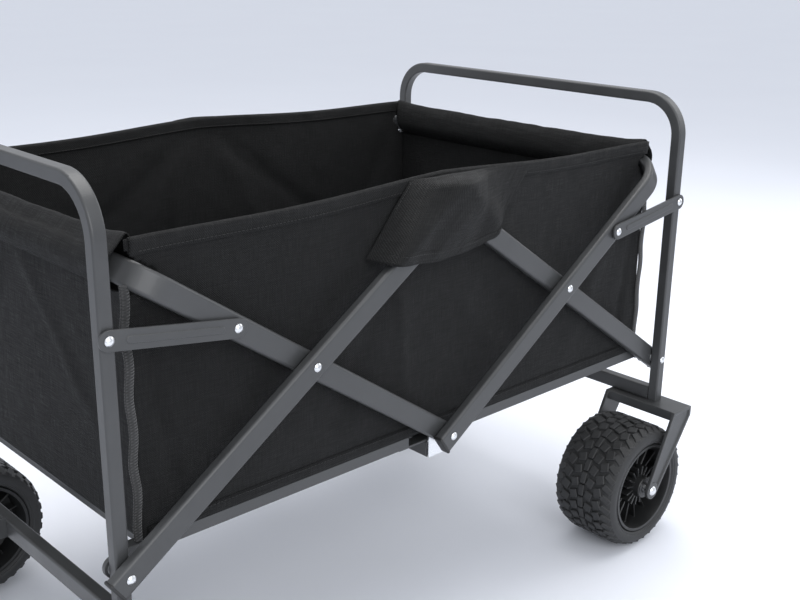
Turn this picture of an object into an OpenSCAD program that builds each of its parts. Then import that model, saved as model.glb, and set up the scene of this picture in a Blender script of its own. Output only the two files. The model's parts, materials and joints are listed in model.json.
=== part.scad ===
// Folding camp wagon: two hoop end frames joined by a scissor of flat oval bars, a fabric tub,
// a folding floor, four wide wheels and a telescopic pull handle.
// +X is the rear (fixed wheels), -X the front (casters and handle), +Z up, left is -Y.
// The scissor's middle plane is at X = mid_x and the origin is under the middle of the whole box.

/* [Scissor] */
// Arm of a scissor bar from the crossing rivet to the middle pivot
inner_arm = 248.5; // [220:0.5:300]
// Arm of a brace from the crossing rivet to its foot pivot on the post
foot_arm = 272; // [240:0.5:330]
// Slope of the scissor bars with the wagon open, in degrees
open_angle = 34.3; // [32:0.1:36]
// Slope of the scissor bars with the wagon folded, in degrees
folded_angle = 73; // [68:0.5:73]
// Height of the foot pivots above the ground
foot_z = 262; // [250:1:310]
// Depth of the flat oval scissor bars
bar_w = 26; // [20:0.5:28]
// Thickness of the flat oval scissor bars
bar_t = 13; // [11:0.5:14]
// Corner radius of the scissor bars
bar_corner = 4; // [3:0.5:5]
// Length of bar beyond an end pivot
bar_end = 15; // [13:0.5:18]
// Distance from the crossing rivet to the rim tube, along the bar
rim_arm = 235; // [220:1:237]
// Distance from the crossing rivet to the link rivet, along the bar
link_arm = 106.8; // [95:0.1:115]
// Bend radius of the U tubes, at the tube's centre line
u_bend = 45; // [35:1:55]

/* [End frames] */
// Half width of the wagon at the outer layer of bars
outer_layer = 267.5; // [240:0.5:300]
// Distance between the outer and the inner layer of bars
layer_pitch = 15; // [14.5:0.1:17]
// Side of the square hoop tube
post = 15; // [13:0.5:16]
// Corner radius of the square hoop tube
post_corner = 2.5; // [1.5:0.5:4]
// Overall height of the hoops
hoop_h = 640; // [630:1:760]
// Bend radius of the hoops, at the tube's centre line
hoop_bend = 50; // [35:1:60]
// Height of the crossbar tube between the posts
crossbar_h = 20; // [15:1:26]
// Wall of every steel tube
tube_wall = 1.2; // [1:0.1:2]

/* [Links and rivets] */
// Width of a link strap
link_w = 20; // [16:0.5:24]
// Thickness of a link strap
link_t = 3; // [2:0.5:4]
// Shank radius of the rivets
rivet_r = 3; // [2.5:0.25:4]
// Head radius of the rivets
head_r = 5; // [4.5:0.25:6.5]
// Height of a domed rivet head
head_h = 2.4; // [1.8:0.1:3]
// Radius of the washers between moving bars
washer_r = 8; // [6:0.5:10]

/* [Wheels] */
// Tyre radius
wheel_r = 90; // [80:1:100]
// Tyre width
wheel_w = 100; // [80:1:105]
// Radius where the tyre sits on the rim
rim_r = 66; // [56:1:72]
// Radius of the axle bolts
axle_r = 4; // [3:0.5:6]
// Backward rake of the fixed rear forks
rear_rake = 60; // [50:1:62]
// Trail of the front casters
caster_trail = 45; // [35:1:48]
// Distance from the outer layer of bars to the middle of the rear wheels
rear_wheel_inset = 10.5; // [6:0.5:16]
// Distance from the inner layer of bars to the middle of the front wheels
front_wheel_inset = 7.5; // [4:0.5:14]
// Gap between a tyre and the plate of its fork
fork_gap = 5; // [4:0.5:10]
// Side gap between a tyre and its fork leg
fork_side_gap = 5; // [4:0.5:8]
// Thickness of a fork leg, flange included
leg_t = 5; // [4:0.5:7]
// Length of a fork plate ahead of and behind its post
fork_plate = 21; // [18:1:26]

/* [Tub] */
// Height of the rim hem above the ground at the corners
hem_z = 577; // [572:1:600]
// Rise of the rim hem at the middle of the side
hem_rise = 10; // [4:1:16]
// Thickness of the tub fabric with its lining
fabric_t = 2; // [1.5:0.5:3]
// Side of the square floor rails
rail = 13; // [10:0.5:14]
// Length of a floor rail from its hinge
rail_len = 385; // [350:1:385]
// Thickness of the fabric-covered floor boards
board_t = 8; // [5:1:12]

/* [Pull handle] */
// Distance of the handle pivot ahead of the post
handle_reach = 48; // [42:1:60]
// Radius of the outer handle tube
handle_r = 12; // [10:0.5:13]
// Length of the outer handle tube above its pivot
handle_len = 434; // [432:1:520]
// Width of the hand grip
grip_w = 116; // [100:2:140]
// Radius of the hand grip
grip_r = 11; // [9:0.5:13]

/* [Clearances] */
// Running clearance of a pin in its hole
pin_gap = 0.05; // [0.02:0.01:0.1]
// Clearance between a moving face and its neighbour
face_gap = 0.3; // [0.25:0.05:0.5]

/* [Hidden] */
$fn = 48;

frame_colour = [0.16, 0.165, 0.17];
zinc_colour = [0.78, 0.79, 0.8];
fabric_colour = [0.09, 0.09, 0.1];
plastic_colour = [0.05, 0.05, 0.055];
rubber_colour = [0.07, 0.07, 0.07];

// Scissor geometry, measured from the middle plane
post_x = (inner_arm + foot_arm) * cos(open_angle);
cross_x = inner_arm * cos(open_angle);
cross_z = foot_z + foot_arm * sin(open_angle);
low_pivot_z = cross_z - inner_arm * sin(open_angle);
top_pivot_z = cross_z + inner_arm * sin(open_angle);
rim_x = cross_x + rim_arm * cos(open_angle);
rim_z = cross_z + rim_arm * sin(open_angle);
link_near = foot_arm - link_arm;
link_far = foot_arm + link_arm;
// The link's length is the same with the wagon open and folded when its post pivot is this high
link_rise = (link_far * link_far - link_near * link_near) * (sin(open_angle) + sin(folded_angle))
    / (2 * link_far);
link_dx = -link_near * cos(open_angle);
link_dz = link_far * sin(open_angle) - link_rise;
link_len = norm([link_dx, link_dz]);

// Layers, as distances from the middle of the wagon
inner_layer = outer_layer - layer_pitch;
outer_bar_out = outer_layer + bar_t / 2;
outer_bar_in = outer_layer - bar_t / 2;
inner_bar_out = inner_layer + bar_t / 2;
inner_bar_in = inner_layer - bar_t / 2;
outer_post_out = outer_layer + post / 2;
outer_post_in = outer_layer - post / 2;
inner_post_out = inner_layer + post / 2;
inner_post_in = inner_layer - post / 2;
link_gap = 1;
ear_t = 5;
ear_out = inner_post_in - 1;
ear_in = ear_out - ear_t;
bracket_in = inner_bar_in - 3.2;
bracket_out = inner_bar_in - 0.5;

// Forks and wheels
leg_in = wheel_w / 2 + fork_side_gap;
leg_out = leg_in + leg_t;
plate_t = 3;
plate_h = 13.5;
plate_top = 2 * wheel_r + fork_gap + plate_h;
rear_wheel_y = outer_layer - rear_wheel_inset;
front_wheel_y = inner_layer - front_wheel_inset;
bearing_r = 22;
bearing_h = 6.5;
kingpin_r = 6;
caster_top = plate_top - plate_t - bearing_h - face_gap;
caster_plate_t = 4.6;
caster_flange_h = 7.5;
eye_r = 12.5;
hub_r = 15;
hub_half = wheel_w / 2 - 3;

// Floor
rail_out = ear_out;
rail_in = rail_out - rail;
rail_low = 2;
rail_top_z = foot_z + rail_low + rail;
rail_tip_x = post_x - rail_len;
board_half = rail_in + rail - 5.5;
board_top_z = rail_top_z + board_t;
saddle_t = 2.5;
saddle_top_z = foot_z + rail_low - face_gap;
crossbeam_w = 30;
crossbeam_h = 20;
crossbeam_top_z = saddle_top_z - saddle_t;

// Tub
wall_out = rail_out - 1.5;
wall_in = wall_out - fabric_t;
wall_low_z = rail_top_z + 1;
end_wall_top_z = rim_z - bar_w / 2 * cos(open_angle) - bar_t / 2 * sin(open_angle) - 4;
sleeve_t = 1.2;
sleeve_gap = 0.2;
flap_gap = 3.5;
flap_in = outer_bar_out + flap_gap;
flap_out = flap_in + fabric_t;

// Handle
handle_wall = 1.5;
handle_z = plate_top + crossbar_h / 2 + 3;
handle_x = post_x + handle_reach;
lug_end_r = 14;
hoop_contact_z = hoop_h - post_corner - handle_z;
handle_lean = asin((handle_reach - post / 2 - handle_r - face_gap) / hoop_contact_z);
inner_tube_r = handle_r - handle_wall - 0.3;
inner_tube_start = 60;
grip_neck = 10;
grip_bar_s = handle_len + 58;
button_r = 5;
button_gap = 0.2;
button_travel = 3;
button_s = handle_len + 13;

// The whole box: tyres of the raked rear forks behind, lugs of the handle bracket ahead
box_rear = post_x - rear_rake + wheel_r;
box_front = handle_x + lug_end_r;
mid_x = (box_front - box_rear) / 2;

// ---------- placing ----------

module rear_end() translate([mid_x, 0, 0]) children();

module front_end() translate([mid_x, 0, 0]) mirror([1, 0, 0]) children();

module on_right() children();

module on_left() mirror([0, 1, 0]) children();

module both_sides() {
    on_right() children();
    on_left() children();
}

// Local X runs along the bar that rises towards the end (slope > 0) or falls to the foot (slope < 0)
module at_crossing(slope) translate([cross_x, 0, cross_z]) rotate([0, -slope, 0]) children();

// Cylinder along +Y from y0 to y1 at a point of the side plane
module along_y(x, z, y0, y1, r) translate([x, y0, z]) rotate([-90, 0, 0]) cylinder(r = r, h = y1 - y0);

// ---------- sections ----------

module rounded_rect(w, h, r) {
    square([w - 2 * r, h], center = true);
    square([w, h - 2 * r], center = true);
    for (x = [-1, 1], y = [-1, 1]) translate([x * (w / 2 - r), y * (h / 2 - r)]) circle(r);
}

module tube_section(w, h, r) difference() {
    rounded_rect(w, h, r);
    rounded_rect(w - 2 * tube_wall, h - 2 * tube_wall, max(r - tube_wall, 0.3));
}

// ---------- scissor ----------

module u_tube(leg_y) {
    bend_s = rim_arm - u_bend;
    start_s = -(inner_arm + bar_end);
    bend_y = leg_y - u_bend;
    difference() {
        union() {
            both_sides() {
                translate([start_s, leg_y, 0]) rotate([0, 90, 0])
                    linear_extrude(bend_s - start_s) tube_section(bar_w, bar_t, bar_corner);
                translate([bend_s, bend_y, 0]) rotate_extrude(angle = 90)
                    translate([u_bend, 0]) tube_section(bar_t, bar_w, bar_corner);
            }
            translate([rim_arm, -bend_y, 0]) rotate([-90, 0, 0])
                linear_extrude(2 * bend_y) tube_section(bar_t, bar_w, bar_corner);
        }
        both_sides() for (s = [-inner_arm, 0])
            along_y(s, 0, leg_y - bar_t, leg_y + bar_t, rivet_r + pin_gap);
    }
}

module brace(layer) difference() {
    translate([-(inner_arm + bar_end), layer, 0]) rotate([0, 90, 0])
        linear_extrude(inner_arm + foot_arm + 2 * bar_end) tube_section(bar_w, bar_t, bar_corner);
    for (s = [-inner_arm, 0, foot_arm])
        along_y(s, 0, layer - bar_t, layer + bar_t, rivet_r + pin_gap);
}

module rim_sleeve(leg_y) {
    half = leg_y - u_bend - 1;
    translate([rim_arm, -half, 0]) rotate([-90, 0, 0]) linear_extrude(2 * half) difference() {
        rounded_rect(bar_t + 2 * (sleeve_t + sleeve_gap), bar_w + 2 * (sleeve_t + sleeve_gap),
            bar_corner + sleeve_t + sleeve_gap);
        rounded_rect(bar_t + 2 * sleeve_gap, bar_w + 2 * sleeve_gap, bar_corner + sleeve_gap);
    }
}

// ---------- rivets ----------

module domed_head(r, h) {
    ball = (r * r + h * h) / (2 * h);
    intersection() {
        translate([0, 0, h - ball]) sphere(ball);
        cylinder(r = r, h = h);
    }
}

// Rivet along +Y: shank from y0 to y1, domed head outside and, with a tail, a low one inside
module rivet(x, z, y0, y1, tail = true) {
    along_y(x, z, y0, y1, rivet_r);
    translate([x, y1, z]) rotate([-90, 0, 0]) domed_head(head_r, head_h);
    if (tail) translate([x, y0, z]) rotate([90, 0, 0]) domed_head(head_r, head_h * 0.7);
}

// ---------- end frames ----------

module hoop(layer) difference() {
    union() {
        both_sides() {
            translate([post_x, layer, plate_top])
                linear_extrude(hoop_h - post / 2 - hoop_bend - plate_top) tube_section(post, post, post_corner);
            translate([post_x, layer - hoop_bend, hoop_h - post / 2 - hoop_bend]) rotate([0, 90, 0])
                rotate([0, 0, 90]) rotate_extrude(angle = 90)
                translate([hoop_bend, 0]) tube_section(post, post, post_corner);
        }
        translate([post_x, -(layer - hoop_bend), hoop_h - post / 2]) rotate([-90, 0, 0])
            linear_extrude(2 * (layer - hoop_bend)) tube_section(post, post, post_corner);
    }
    both_sides() for (z = [foot_z, foot_z + link_rise])
        along_y(post_x, z, layer - post, layer + post, rivet_r + pin_gap);
}

module crossbar(layer) translate([post_x, -(layer - post / 2), plate_top + crossbar_h / 2])
    rotate([-90, 0, 0]) linear_extrude(2 * (layer - post / 2)) tube_section(post, crossbar_h, post_corner);

// ---------- forks and wheels ----------

// Outline of a fork leg in the side plane, measured from the axle: a tapered strap with an eye
module leg_outline(rake, top, inset) hull() {
    translate([rake - fork_plate + inset, top - plate_h]) square([2 * (fork_plate - inset), plate_h - inset]);
    circle(eye_r - inset, $fn = 32);
}

// Fork around a wheel whose axle is the local origin, its legs rising to the plate at the post
module fork(rake, top, top_t, flange_h) difference() {
    union() {
        translate([rake - fork_plate, -leg_out, top - top_t]) cube([2 * fork_plate, 2 * leg_out, top_t]);
        for (x = [-fork_plate, fork_plate - plate_t])
            translate([rake + x, -leg_out + 1, top - flange_h]) cube([plate_t, 2 * leg_out - 2, flange_h]);
        both_sides() translate([0, leg_out, 0]) rotate([90, 0, 0])
            linear_extrude(leg_t) leg_outline(rake, top, 0);
    }
    both_sides() translate([0, leg_out + 1, 0]) rotate([90, 0, 0])
        linear_extrude(leg_t * 0.4 + 1) difference() {
            leg_outline(rake, top, 4.5);
            circle(eye_r, $fn = 32);
        }
    along_y(0, 0, -leg_out - 1, leg_out + 1, axle_r + pin_gap);
}

module at_rear_axle() translate([post_x - rear_rake, rear_wheel_y, wheel_r]) children();

module at_front_axle() translate([post_x - caster_trail, front_wheel_y, wheel_r]) children();

module rear_fork() at_rear_axle() fork(rear_rake, plate_top - wheel_r, plate_t, plate_h);

module caster_fork() difference() {
    at_front_axle() fork(caster_trail, caster_top - wheel_r, caster_plate_t, caster_flange_h);
    translate([post_x, front_wheel_y, caster_top - 20]) cylinder(r = kingpin_r + pin_gap, h = 30);
}

// Plate under the post with the upper bearing cup, kingpin and kingpin nut
module caster_mount() {
    nut_z = caster_top - caster_plate_t - face_gap;
    nut_h = 4;
    translate([post_x, front_wheel_y, 0]) {
        translate([-fork_plate, -leg_out / 2, plate_top - plate_t]) cube([2 * fork_plate, leg_out, plate_t]);
        translate([0, 0, plate_top - plate_t - bearing_h]) cylinder(r = bearing_r, h = bearing_h);
        translate([0, 0, nut_z - nut_h]) cylinder(r = kingpin_r, h = plate_top - plate_t - nut_z + nut_h);
        translate([0, 0, nut_z - nut_h]) cylinder(r = kingpin_r + 4, h = nut_h, $fn = 6);
    }
}

// Bolt through both legs, domed head outside, nut inside, spacers beside the hub
module axle_bolt() {
    along_y(0, 0, -leg_out - 6, leg_out, axle_r);
    translate([0, leg_out, 0]) rotate([-90, 0, 0]) domed_head(7, 4);
    translate([0, -leg_out, 0]) rotate([90, 0, 0]) cylinder(r = 7, h = 5, $fn = 6);
    both_sides() along_y(0, 0, hub_half + face_gap, leg_in, axle_r + 3.5);
}

module tyre() rotate([-90, 0, 0]) rotate_extrude() {
    band = wheel_r - rim_r;
    translate([rim_r + band / 2, 0]) rounded_rect(band, wheel_w, 9);
    translate([rim_r, -wheel_w / 2 + 6]) square([band / 2, wheel_w - 12]);
}

module wheel_rim() {
    barrel_r = rim_r - 0.1;
    barrel_t = 5;
    barrel_half = wheel_w / 2 - 7;
    difference() {
        union() {
            along_y(0, 0, -hub_half, hub_half, hub_r);
            difference() {
                along_y(0, 0, -barrel_half, barrel_half, barrel_r);
                along_y(0, 0, -barrel_half - 1, barrel_half + 1, barrel_r - barrel_t);
            }
            along_y(0, 0, -3, 3, barrel_r - 1);
        }
        along_y(0, 0, -hub_half - 1, hub_half + 1, axle_r + pin_gap);
    }
}

// ---------- links ----------

// Strap on a post, outside both the post and the scissor bar, with a raised rib along its middle
module link(y0) translate([post_x, y0, foot_z + link_rise]) rotate([0, -atan2(link_dz, link_dx), 0]) {
    difference() {
        union() {
            for (x = [0, link_len]) along_y(x, 0, 0, link_t, link_w / 2);
            translate([0, 0, -link_w / 2]) cube([link_len, link_t, link_w]);
            for (x = [link_w, link_len - link_w]) along_y(x, 0, 0, link_t + 1, 3.5);
            translate([link_w, 0, -3.5]) cube([link_len - 2 * link_w, link_t + 1, 7]);
        }
        for (x = [0, link_len]) along_y(x, 0, -1, link_t + 1, rivet_r + pin_gap);
    }
}

// The rivet at the link's free end stops just short of the bar beneath it
module link_rivet(bar_out, y0) rivet(post_x + link_dx, foot_z + link_rise + link_dz,
    bar_out + 0.4, y0 + link_t, tail = false);

// ---------- floor ----------

// Two rails with hinge ears at their outer ends and two cross members
module floor_frame() {
    cross_len = 2 * rail_in;
    both_sides() difference() {
        union() {
            translate([rail_tip_x, rail_in, foot_z + rail_low]) cube([rail_len - 9, rail, rail]);
            along_y(post_x, foot_z, ear_in, ear_out, 11);
            translate([post_x - 22, ear_in, foot_z]) cube([22, ear_t, rail]);
        }
        translate([rail_tip_x - 1, rail_in + tube_wall, foot_z + rail_low + tube_wall])
            cube([rail_len - 25, rail - 2 * tube_wall, rail - 2 * tube_wall]);
        along_y(post_x, foot_z, ear_in - rail, ear_out + 1, rivet_r + pin_gap);
    }
    for (x = [rail_tip_x, post_x - 50]) translate([x, -rail_in, foot_z + rail_low]) difference() {
        cube([rail, cross_len, rail]);
        translate([tube_wall, -1, tube_wall])
            cube([rail - 2 * tube_wall, cross_len + 2, rail - 2 * tube_wall]);
    }
}

module floor_board() translate([rail_tip_x, -board_half, rail_top_z])
    cube([rim_x - 5.5 - rail_tip_x, 2 * board_half, board_t]);

// ---------- tub ----------

// Side wall outline: straight foot, raised hem, and a slot where the rim tube passes its corner
module wall_outline() difference() {
    polygon([
        [-rim_x, wall_low_z], [rim_x, wall_low_z], [rim_x, hem_z],
        [0, hem_z + hem_rise], [-rim_x, hem_z]
    ]);
    for (m = [0, 1]) mirror([m, 0]) translate([cross_x, cross_z]) rotate(open_angle)
        translate([rim_arm - u_bend - 6, -bar_w / 2 - 3]) square([200, bar_w + 6]);
}

// Flap that hides the top middle pivot: narrow at the hem, spread over the two bars below it
module flap_outline() polygon([
    [-46, hem_z + 5], [14, hem_z + 5], [74, top_pivot_z - 49], [-34, top_pivot_z - 53],
    [-118, top_pivot_z - 46]
]);

module side_wall() {
    translate([0, wall_out, 0]) rotate([90, 0, 0]) linear_extrude(fabric_t) wall_outline();
    translate([0, flap_out, 0]) rotate([90, 0, 0]) linear_extrude(fabric_t) flap_outline();
    translate([-46, wall_out - 0.5, hem_z + 3]) cube([60, flap_in + 1 - wall_out, 2]);
}

module end_wall() translate([rim_x - fabric_t, -wall_in, wall_low_z])
    cube([fabric_t, 2 * wall_in, end_wall_top_z - wall_low_z]);

// ---------- handle ----------

// Local Z runs up the tube from the pivot; the tube leans back against the hoop
module along_handle() translate([handle_x, 0, handle_z]) rotate([0, -handle_lean, 0]) children();

module handle_lugs() {
    lug_t = 3;
    lug_in = handle_r + 1.5;
    face = post_x + post / 2;
    translate([face, -lug_in - lug_t, plate_top + 1]) cube([lug_t, 2 * (lug_in + lug_t), crossbar_h - 2]);
    difference() {
        both_sides() {
            translate([face, lug_in, handle_z - lug_end_r + 2])
                cube([handle_x - face, lug_t, 2 * lug_end_r - 4]);
            along_y(handle_x, handle_z, lug_in, lug_in + lug_t, lug_end_r);
        }
        along_y(handle_x, handle_z, -lug_in - lug_t - 1, lug_in + lug_t + 1, axle_r + pin_gap);
    }
}

module pivot_pin() {
    lug_out = handle_r + 4.5;
    along_y(handle_x, handle_z, -lug_out, lug_out, axle_r);
    both_sides() {
        translate([handle_x, lug_out, handle_z]) rotate([-90, 0, 0]) domed_head(7, 3);
        along_y(handle_x, handle_z, handle_r + face_gap, handle_r + 1.5, axle_r + 2.5);
    }
}

module outer_tube() difference() {
    translate([0, 0, -14]) cylinder(r = handle_r, h = handle_len + 14);
    translate([0, 0, -15]) cylinder(r = handle_r - handle_wall, h = handle_len + 20);
    along_y(0, 0, -handle_r - 1, handle_r + 1, axle_r + pin_gap);
}

module inner_tube() difference() {
    translate([0, 0, inner_tube_start]) cylinder(r = inner_tube_r, h = handle_len - inner_tube_start + grip_neck);
    translate([0, 0, inner_tube_start - 1])
        cylinder(r = inner_tube_r - handle_wall, h = handle_len - inner_tube_start - 2);
}

// Hand grip: a neck over the inner tube, two arms and a bar across
module grip() difference() {
    arm_foot = 15;
    arm_r = 7;
    arm_y = grip_w / 2 - grip_r;
    arm_rise = grip_bar_s - handle_len - grip_neck;
    union() {
        translate([0, 0, handle_len + face_gap]) cylinder(r = handle_r, h = 8);
        translate([0, 0, handle_len + 7]) cylinder(r = handle_r + 4, h = grip_neck + 4);
        translate([0, 0, grip_bar_s]) {
            along_y(0, 0, -arm_y, arm_y, grip_r);
            both_sides() translate([0, arm_y, 0]) sphere(grip_r);
        }
        both_sides() translate([0, arm_foot, handle_len + grip_neck])
            rotate([-atan2(arm_y - arm_foot, arm_rise), 0, 0])
            cylinder(r = arm_r, h = norm([arm_y - arm_foot, arm_rise]));
    }
    translate([0, 0, handle_len - 1]) cylinder(r = inner_tube_r + 0.02, h = grip_neck + 1);
    translate([inner_tube_r + 1, 0, button_s]) rotate([0, 90, 0])
        cylinder(r = button_r + button_gap, h = 20);
}

// Button in the front of the neck, with its travel behind it
module button() translate([inner_tube_r + 1 + button_travel + 0.2, 0, button_s])
    rotate([0, 90, 0]) cylinder(r = button_r, h = 7);

// ---------- nodes ----------

module centre_crossbar() color(frame_colour) translate([mid_x, 0, 0]) {
    half = bracket_in;
    translate([0, -half, crossbeam_top_z - crossbeam_h / 2]) rotate([-90, 0, 0])
        linear_extrude(2 * half) tube_section(crossbeam_w, crossbeam_h, post_corner);
    both_sides() translate([-rail_tip_x - 12, rail_in - 5, crossbeam_top_z])
        cube([2 * rail_tip_x + 24, rail + 2, saddle_t]);
}

module centre_brackets() color(zinc_colour) translate([mid_x, 0, 0]) both_sides() difference() {
    union() {
        along_y(0, low_pivot_z, bracket_in, bracket_out, 13);
        translate([-13, bracket_in, crossbeam_top_z - crossbeam_h])
            cube([26, bracket_out - bracket_in, low_pivot_z - crossbeam_top_z + crossbeam_h]);
    }
    along_y(0, low_pivot_z, bracket_in - 1, bracket_out + 1, rivet_r + pin_gap);
}

module centre_pivot_rivets() color(zinc_colour) translate([mid_x, 0, 0]) both_sides() {
    rivet(0, low_pivot_z, bracket_in, outer_bar_out + face_gap, tail = false);
    along_y(0, low_pivot_z, inner_bar_out + face_gap, outer_bar_in - face_gap, washer_r);
}

module rear_u_tube() color(frame_colour) rear_end() at_crossing(open_angle) u_tube(outer_layer);

module front_u_tube() color(frame_colour) front_end() at_crossing(open_angle) u_tube(inner_layer);

module rear_rim_sleeve() color(fabric_colour) rear_end() at_crossing(open_angle) rim_sleeve(outer_layer);

module front_rim_sleeve() color(fabric_colour) front_end() at_crossing(open_angle) rim_sleeve(inner_layer);

// Held by the outer U tube, turning in the inner brace
module rear_crossing_rivets() color(zinc_colour) rear_end() both_sides() {
    rivet(cross_x, cross_z, inner_bar_in - face_gap, outer_bar_out);
    along_y(cross_x, cross_z, inner_bar_out + face_gap, outer_bar_in, washer_r);
}

// Held by the inner U tube, turning in the outer brace
module front_crossing_rivets() color(zinc_colour) front_end() both_sides() {
    rivet(cross_x, cross_z, inner_bar_in, outer_bar_out + face_gap);
    along_y(cross_x, cross_z, inner_bar_out, outer_bar_in - face_gap, washer_r);
}

module rear_brace() color(frame_colour) rear_end() at_crossing(-open_angle) brace(inner_layer);

module front_brace() color(frame_colour) front_end() at_crossing(-open_angle) brace(outer_layer);

// Held by the rear braces, turning in the front braces
module top_pivot_rivets() color(zinc_colour) translate([mid_x, 0, 0]) both_sides() {
    rivet(0, top_pivot_z, inner_bar_in, outer_bar_out + face_gap);
    along_y(0, top_pivot_z, inner_bar_out, outer_bar_in - face_gap, washer_r);
}

module rear_hoop() color(frame_colour) rear_end() hoop(outer_layer);

module front_hoop() color(frame_colour) front_end() hoop(inner_layer);

module rear_crossbar() color(frame_colour) rear_end() crossbar(outer_layer);

module front_crossbar() color(frame_colour) front_end() crossbar(inner_layer);

// Foot pivots through post, brace and floor ear, and the link pivots higher up
module rear_post_rivets() color(zinc_colour) rear_end() both_sides() {
    rivet(post_x, foot_z, ear_in - face_gap, outer_post_out);
    along_y(post_x, foot_z, inner_bar_out + face_gap, outer_post_in, washer_r);
    along_y(post_x, foot_z, ear_out + face_gap, inner_bar_in - face_gap, washer_r);
    rivet(post_x, foot_z + link_rise, outer_post_in, outer_post_out + link_gap + link_t + face_gap);
    along_y(post_x, foot_z + link_rise, outer_post_out, outer_post_out + link_gap - face_gap, washer_r);
}

module front_post_rivets() color(zinc_colour) front_end() both_sides() {
    rivet(post_x, foot_z, ear_in - face_gap, outer_bar_out + face_gap);
    along_y(post_x, foot_z, inner_post_out, outer_bar_in - face_gap, washer_r);
    along_y(post_x, foot_z, ear_out + face_gap, inner_post_in, washer_r);
    rivet(post_x, foot_z + link_rise, inner_post_in, inner_post_out + link_gap + link_t + face_gap);
    along_y(post_x, foot_z + link_rise, inner_post_out, inner_post_out + link_gap - face_gap, washer_r);
}

module rear_tyre() color(rubber_colour) rear_end() at_rear_axle() tyre();

module rear_rim() color(plastic_colour) rear_end() at_rear_axle() wheel_rim();

module rear_axle_bolt() color(zinc_colour) rear_end() at_rear_axle() axle_bolt();

module front_tyre() color(rubber_colour) front_end() at_front_axle() tyre();

module front_rim() color(plastic_colour) front_end() at_front_axle() wheel_rim();

module front_axle_bolt() color(zinc_colour) front_end() at_front_axle() axle_bolt();

module rear_link() color(frame_colour) rear_end() link(outer_post_out + link_gap);

module front_link() color(frame_colour) front_end() link(inner_post_out + link_gap);

module rear_link_rivets() color(zinc_colour) rear_end() both_sides()
    link_rivet(outer_bar_out, outer_post_out + link_gap);

module front_link_rivets() color(zinc_colour) front_end() both_sides()
    link_rivet(inner_bar_out, inner_post_out + link_gap);

module floor_centre_strip() color(fabric_colour) translate([mid_x - rail_tip_x + face_gap, -board_half, rail_top_z + 2])
    cube([2 * (rail_tip_x - face_gap), 2 * board_half, fabric_t]);

module handle_bracket() color(frame_colour) front_end() handle_lugs();

module handle_pivot_pin() color(zinc_colour) front_end() pivot_pin();

module handle_outer_tube() color(frame_colour) front_end() along_handle() outer_tube();

module handle_inner_tube() color(zinc_colour) front_end() along_handle() inner_tube();

module handle_grip() color(plastic_colour) front_end() along_handle() grip();

module release_button() color("dimgray") front_end() along_handle() button();

centre_crossbar();
centre_brackets();
centre_pivot_rivets();
rear_u_tube();
rear_crossing_rivets();
rear_rim_sleeve();
front_u_tube();
front_crossing_rivets();
front_rim_sleeve();
on_left() rear_brace();  // rear_brace_left
on_right() rear_brace();  // rear_brace_right
top_pivot_rivets();
on_left() front_brace();  // front_brace_left
on_right() front_brace();  // front_brace_right
rear_hoop();
rear_crossbar();
rear_post_rivets();
on_left() color(frame_colour) rear_end() rear_fork();  // rear_fork_left
on_right() color(frame_colour) rear_end() rear_fork();  // rear_fork_right
on_left() rear_axle_bolt();  // rear_axle_bolt_left
on_right() rear_axle_bolt();  // rear_axle_bolt_right
front_hoop();
front_crossbar();
front_post_rivets();
on_left() color(frame_colour) front_end() caster_mount();  // caster_mount_left
on_right() color(frame_colour) front_end() caster_mount();  // caster_mount_right
on_left() color(frame_colour) front_end() caster_fork();  // caster_fork_left
on_right() color(frame_colour) front_end() caster_fork();  // caster_fork_right
on_left() front_axle_bolt();  // front_axle_bolt_left
on_right() front_axle_bolt();  // front_axle_bolt_right
on_left() rear_tyre();  // rear_tyre_left
on_left() rear_rim();  // rear_rim_left
on_right() rear_tyre();  // rear_tyre_right
on_right() rear_rim();  // rear_rim_right
on_left() front_tyre();  // front_tyre_left
on_left() front_rim();  // front_rim_left
on_right() front_tyre();  // front_tyre_right
on_right() front_rim();  // front_rim_right
on_left() rear_link();  // rear_link_left
on_right() rear_link();  // rear_link_right
rear_link_rivets();
on_left() front_link();  // front_link_left
on_right() front_link();  // front_link_right
front_link_rivets();
color(frame_colour) rear_end() floor_frame();  // rear_floor_frame
color(fabric_colour) rear_end() floor_board();  // rear_floor_board
color(frame_colour) front_end() floor_frame();  // front_floor_frame
color(fabric_colour) front_end() floor_board();  // front_floor_board
color(fabric_colour) rear_end() on_left() side_wall();  // side_wall_left
color(fabric_colour) rear_end() on_right() side_wall();  // side_wall_right
color(fabric_colour) rear_end() end_wall();  // rear_end_wall
color(fabric_colour) front_end() end_wall();  // front_end_wall
floor_centre_strip();
handle_bracket();
handle_pivot_pin();
handle_outer_tube();
handle_inner_tube();
handle_grip();
release_button();
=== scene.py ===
"""Folding camp wagon: the visual model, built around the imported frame.

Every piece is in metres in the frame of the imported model: +X is the rear, +Z is up and the
left side is -Y. The wagon's two halves mirror each other about the scissor's middle plane.
"""

import json
import logging
import math
from dataclasses import dataclass
from enum import Enum
from functools import cache
from typing import Callable, Iterable, Sequence

import bmesh
import bpy
from mathutils import Matrix, Vector, noise


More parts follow.
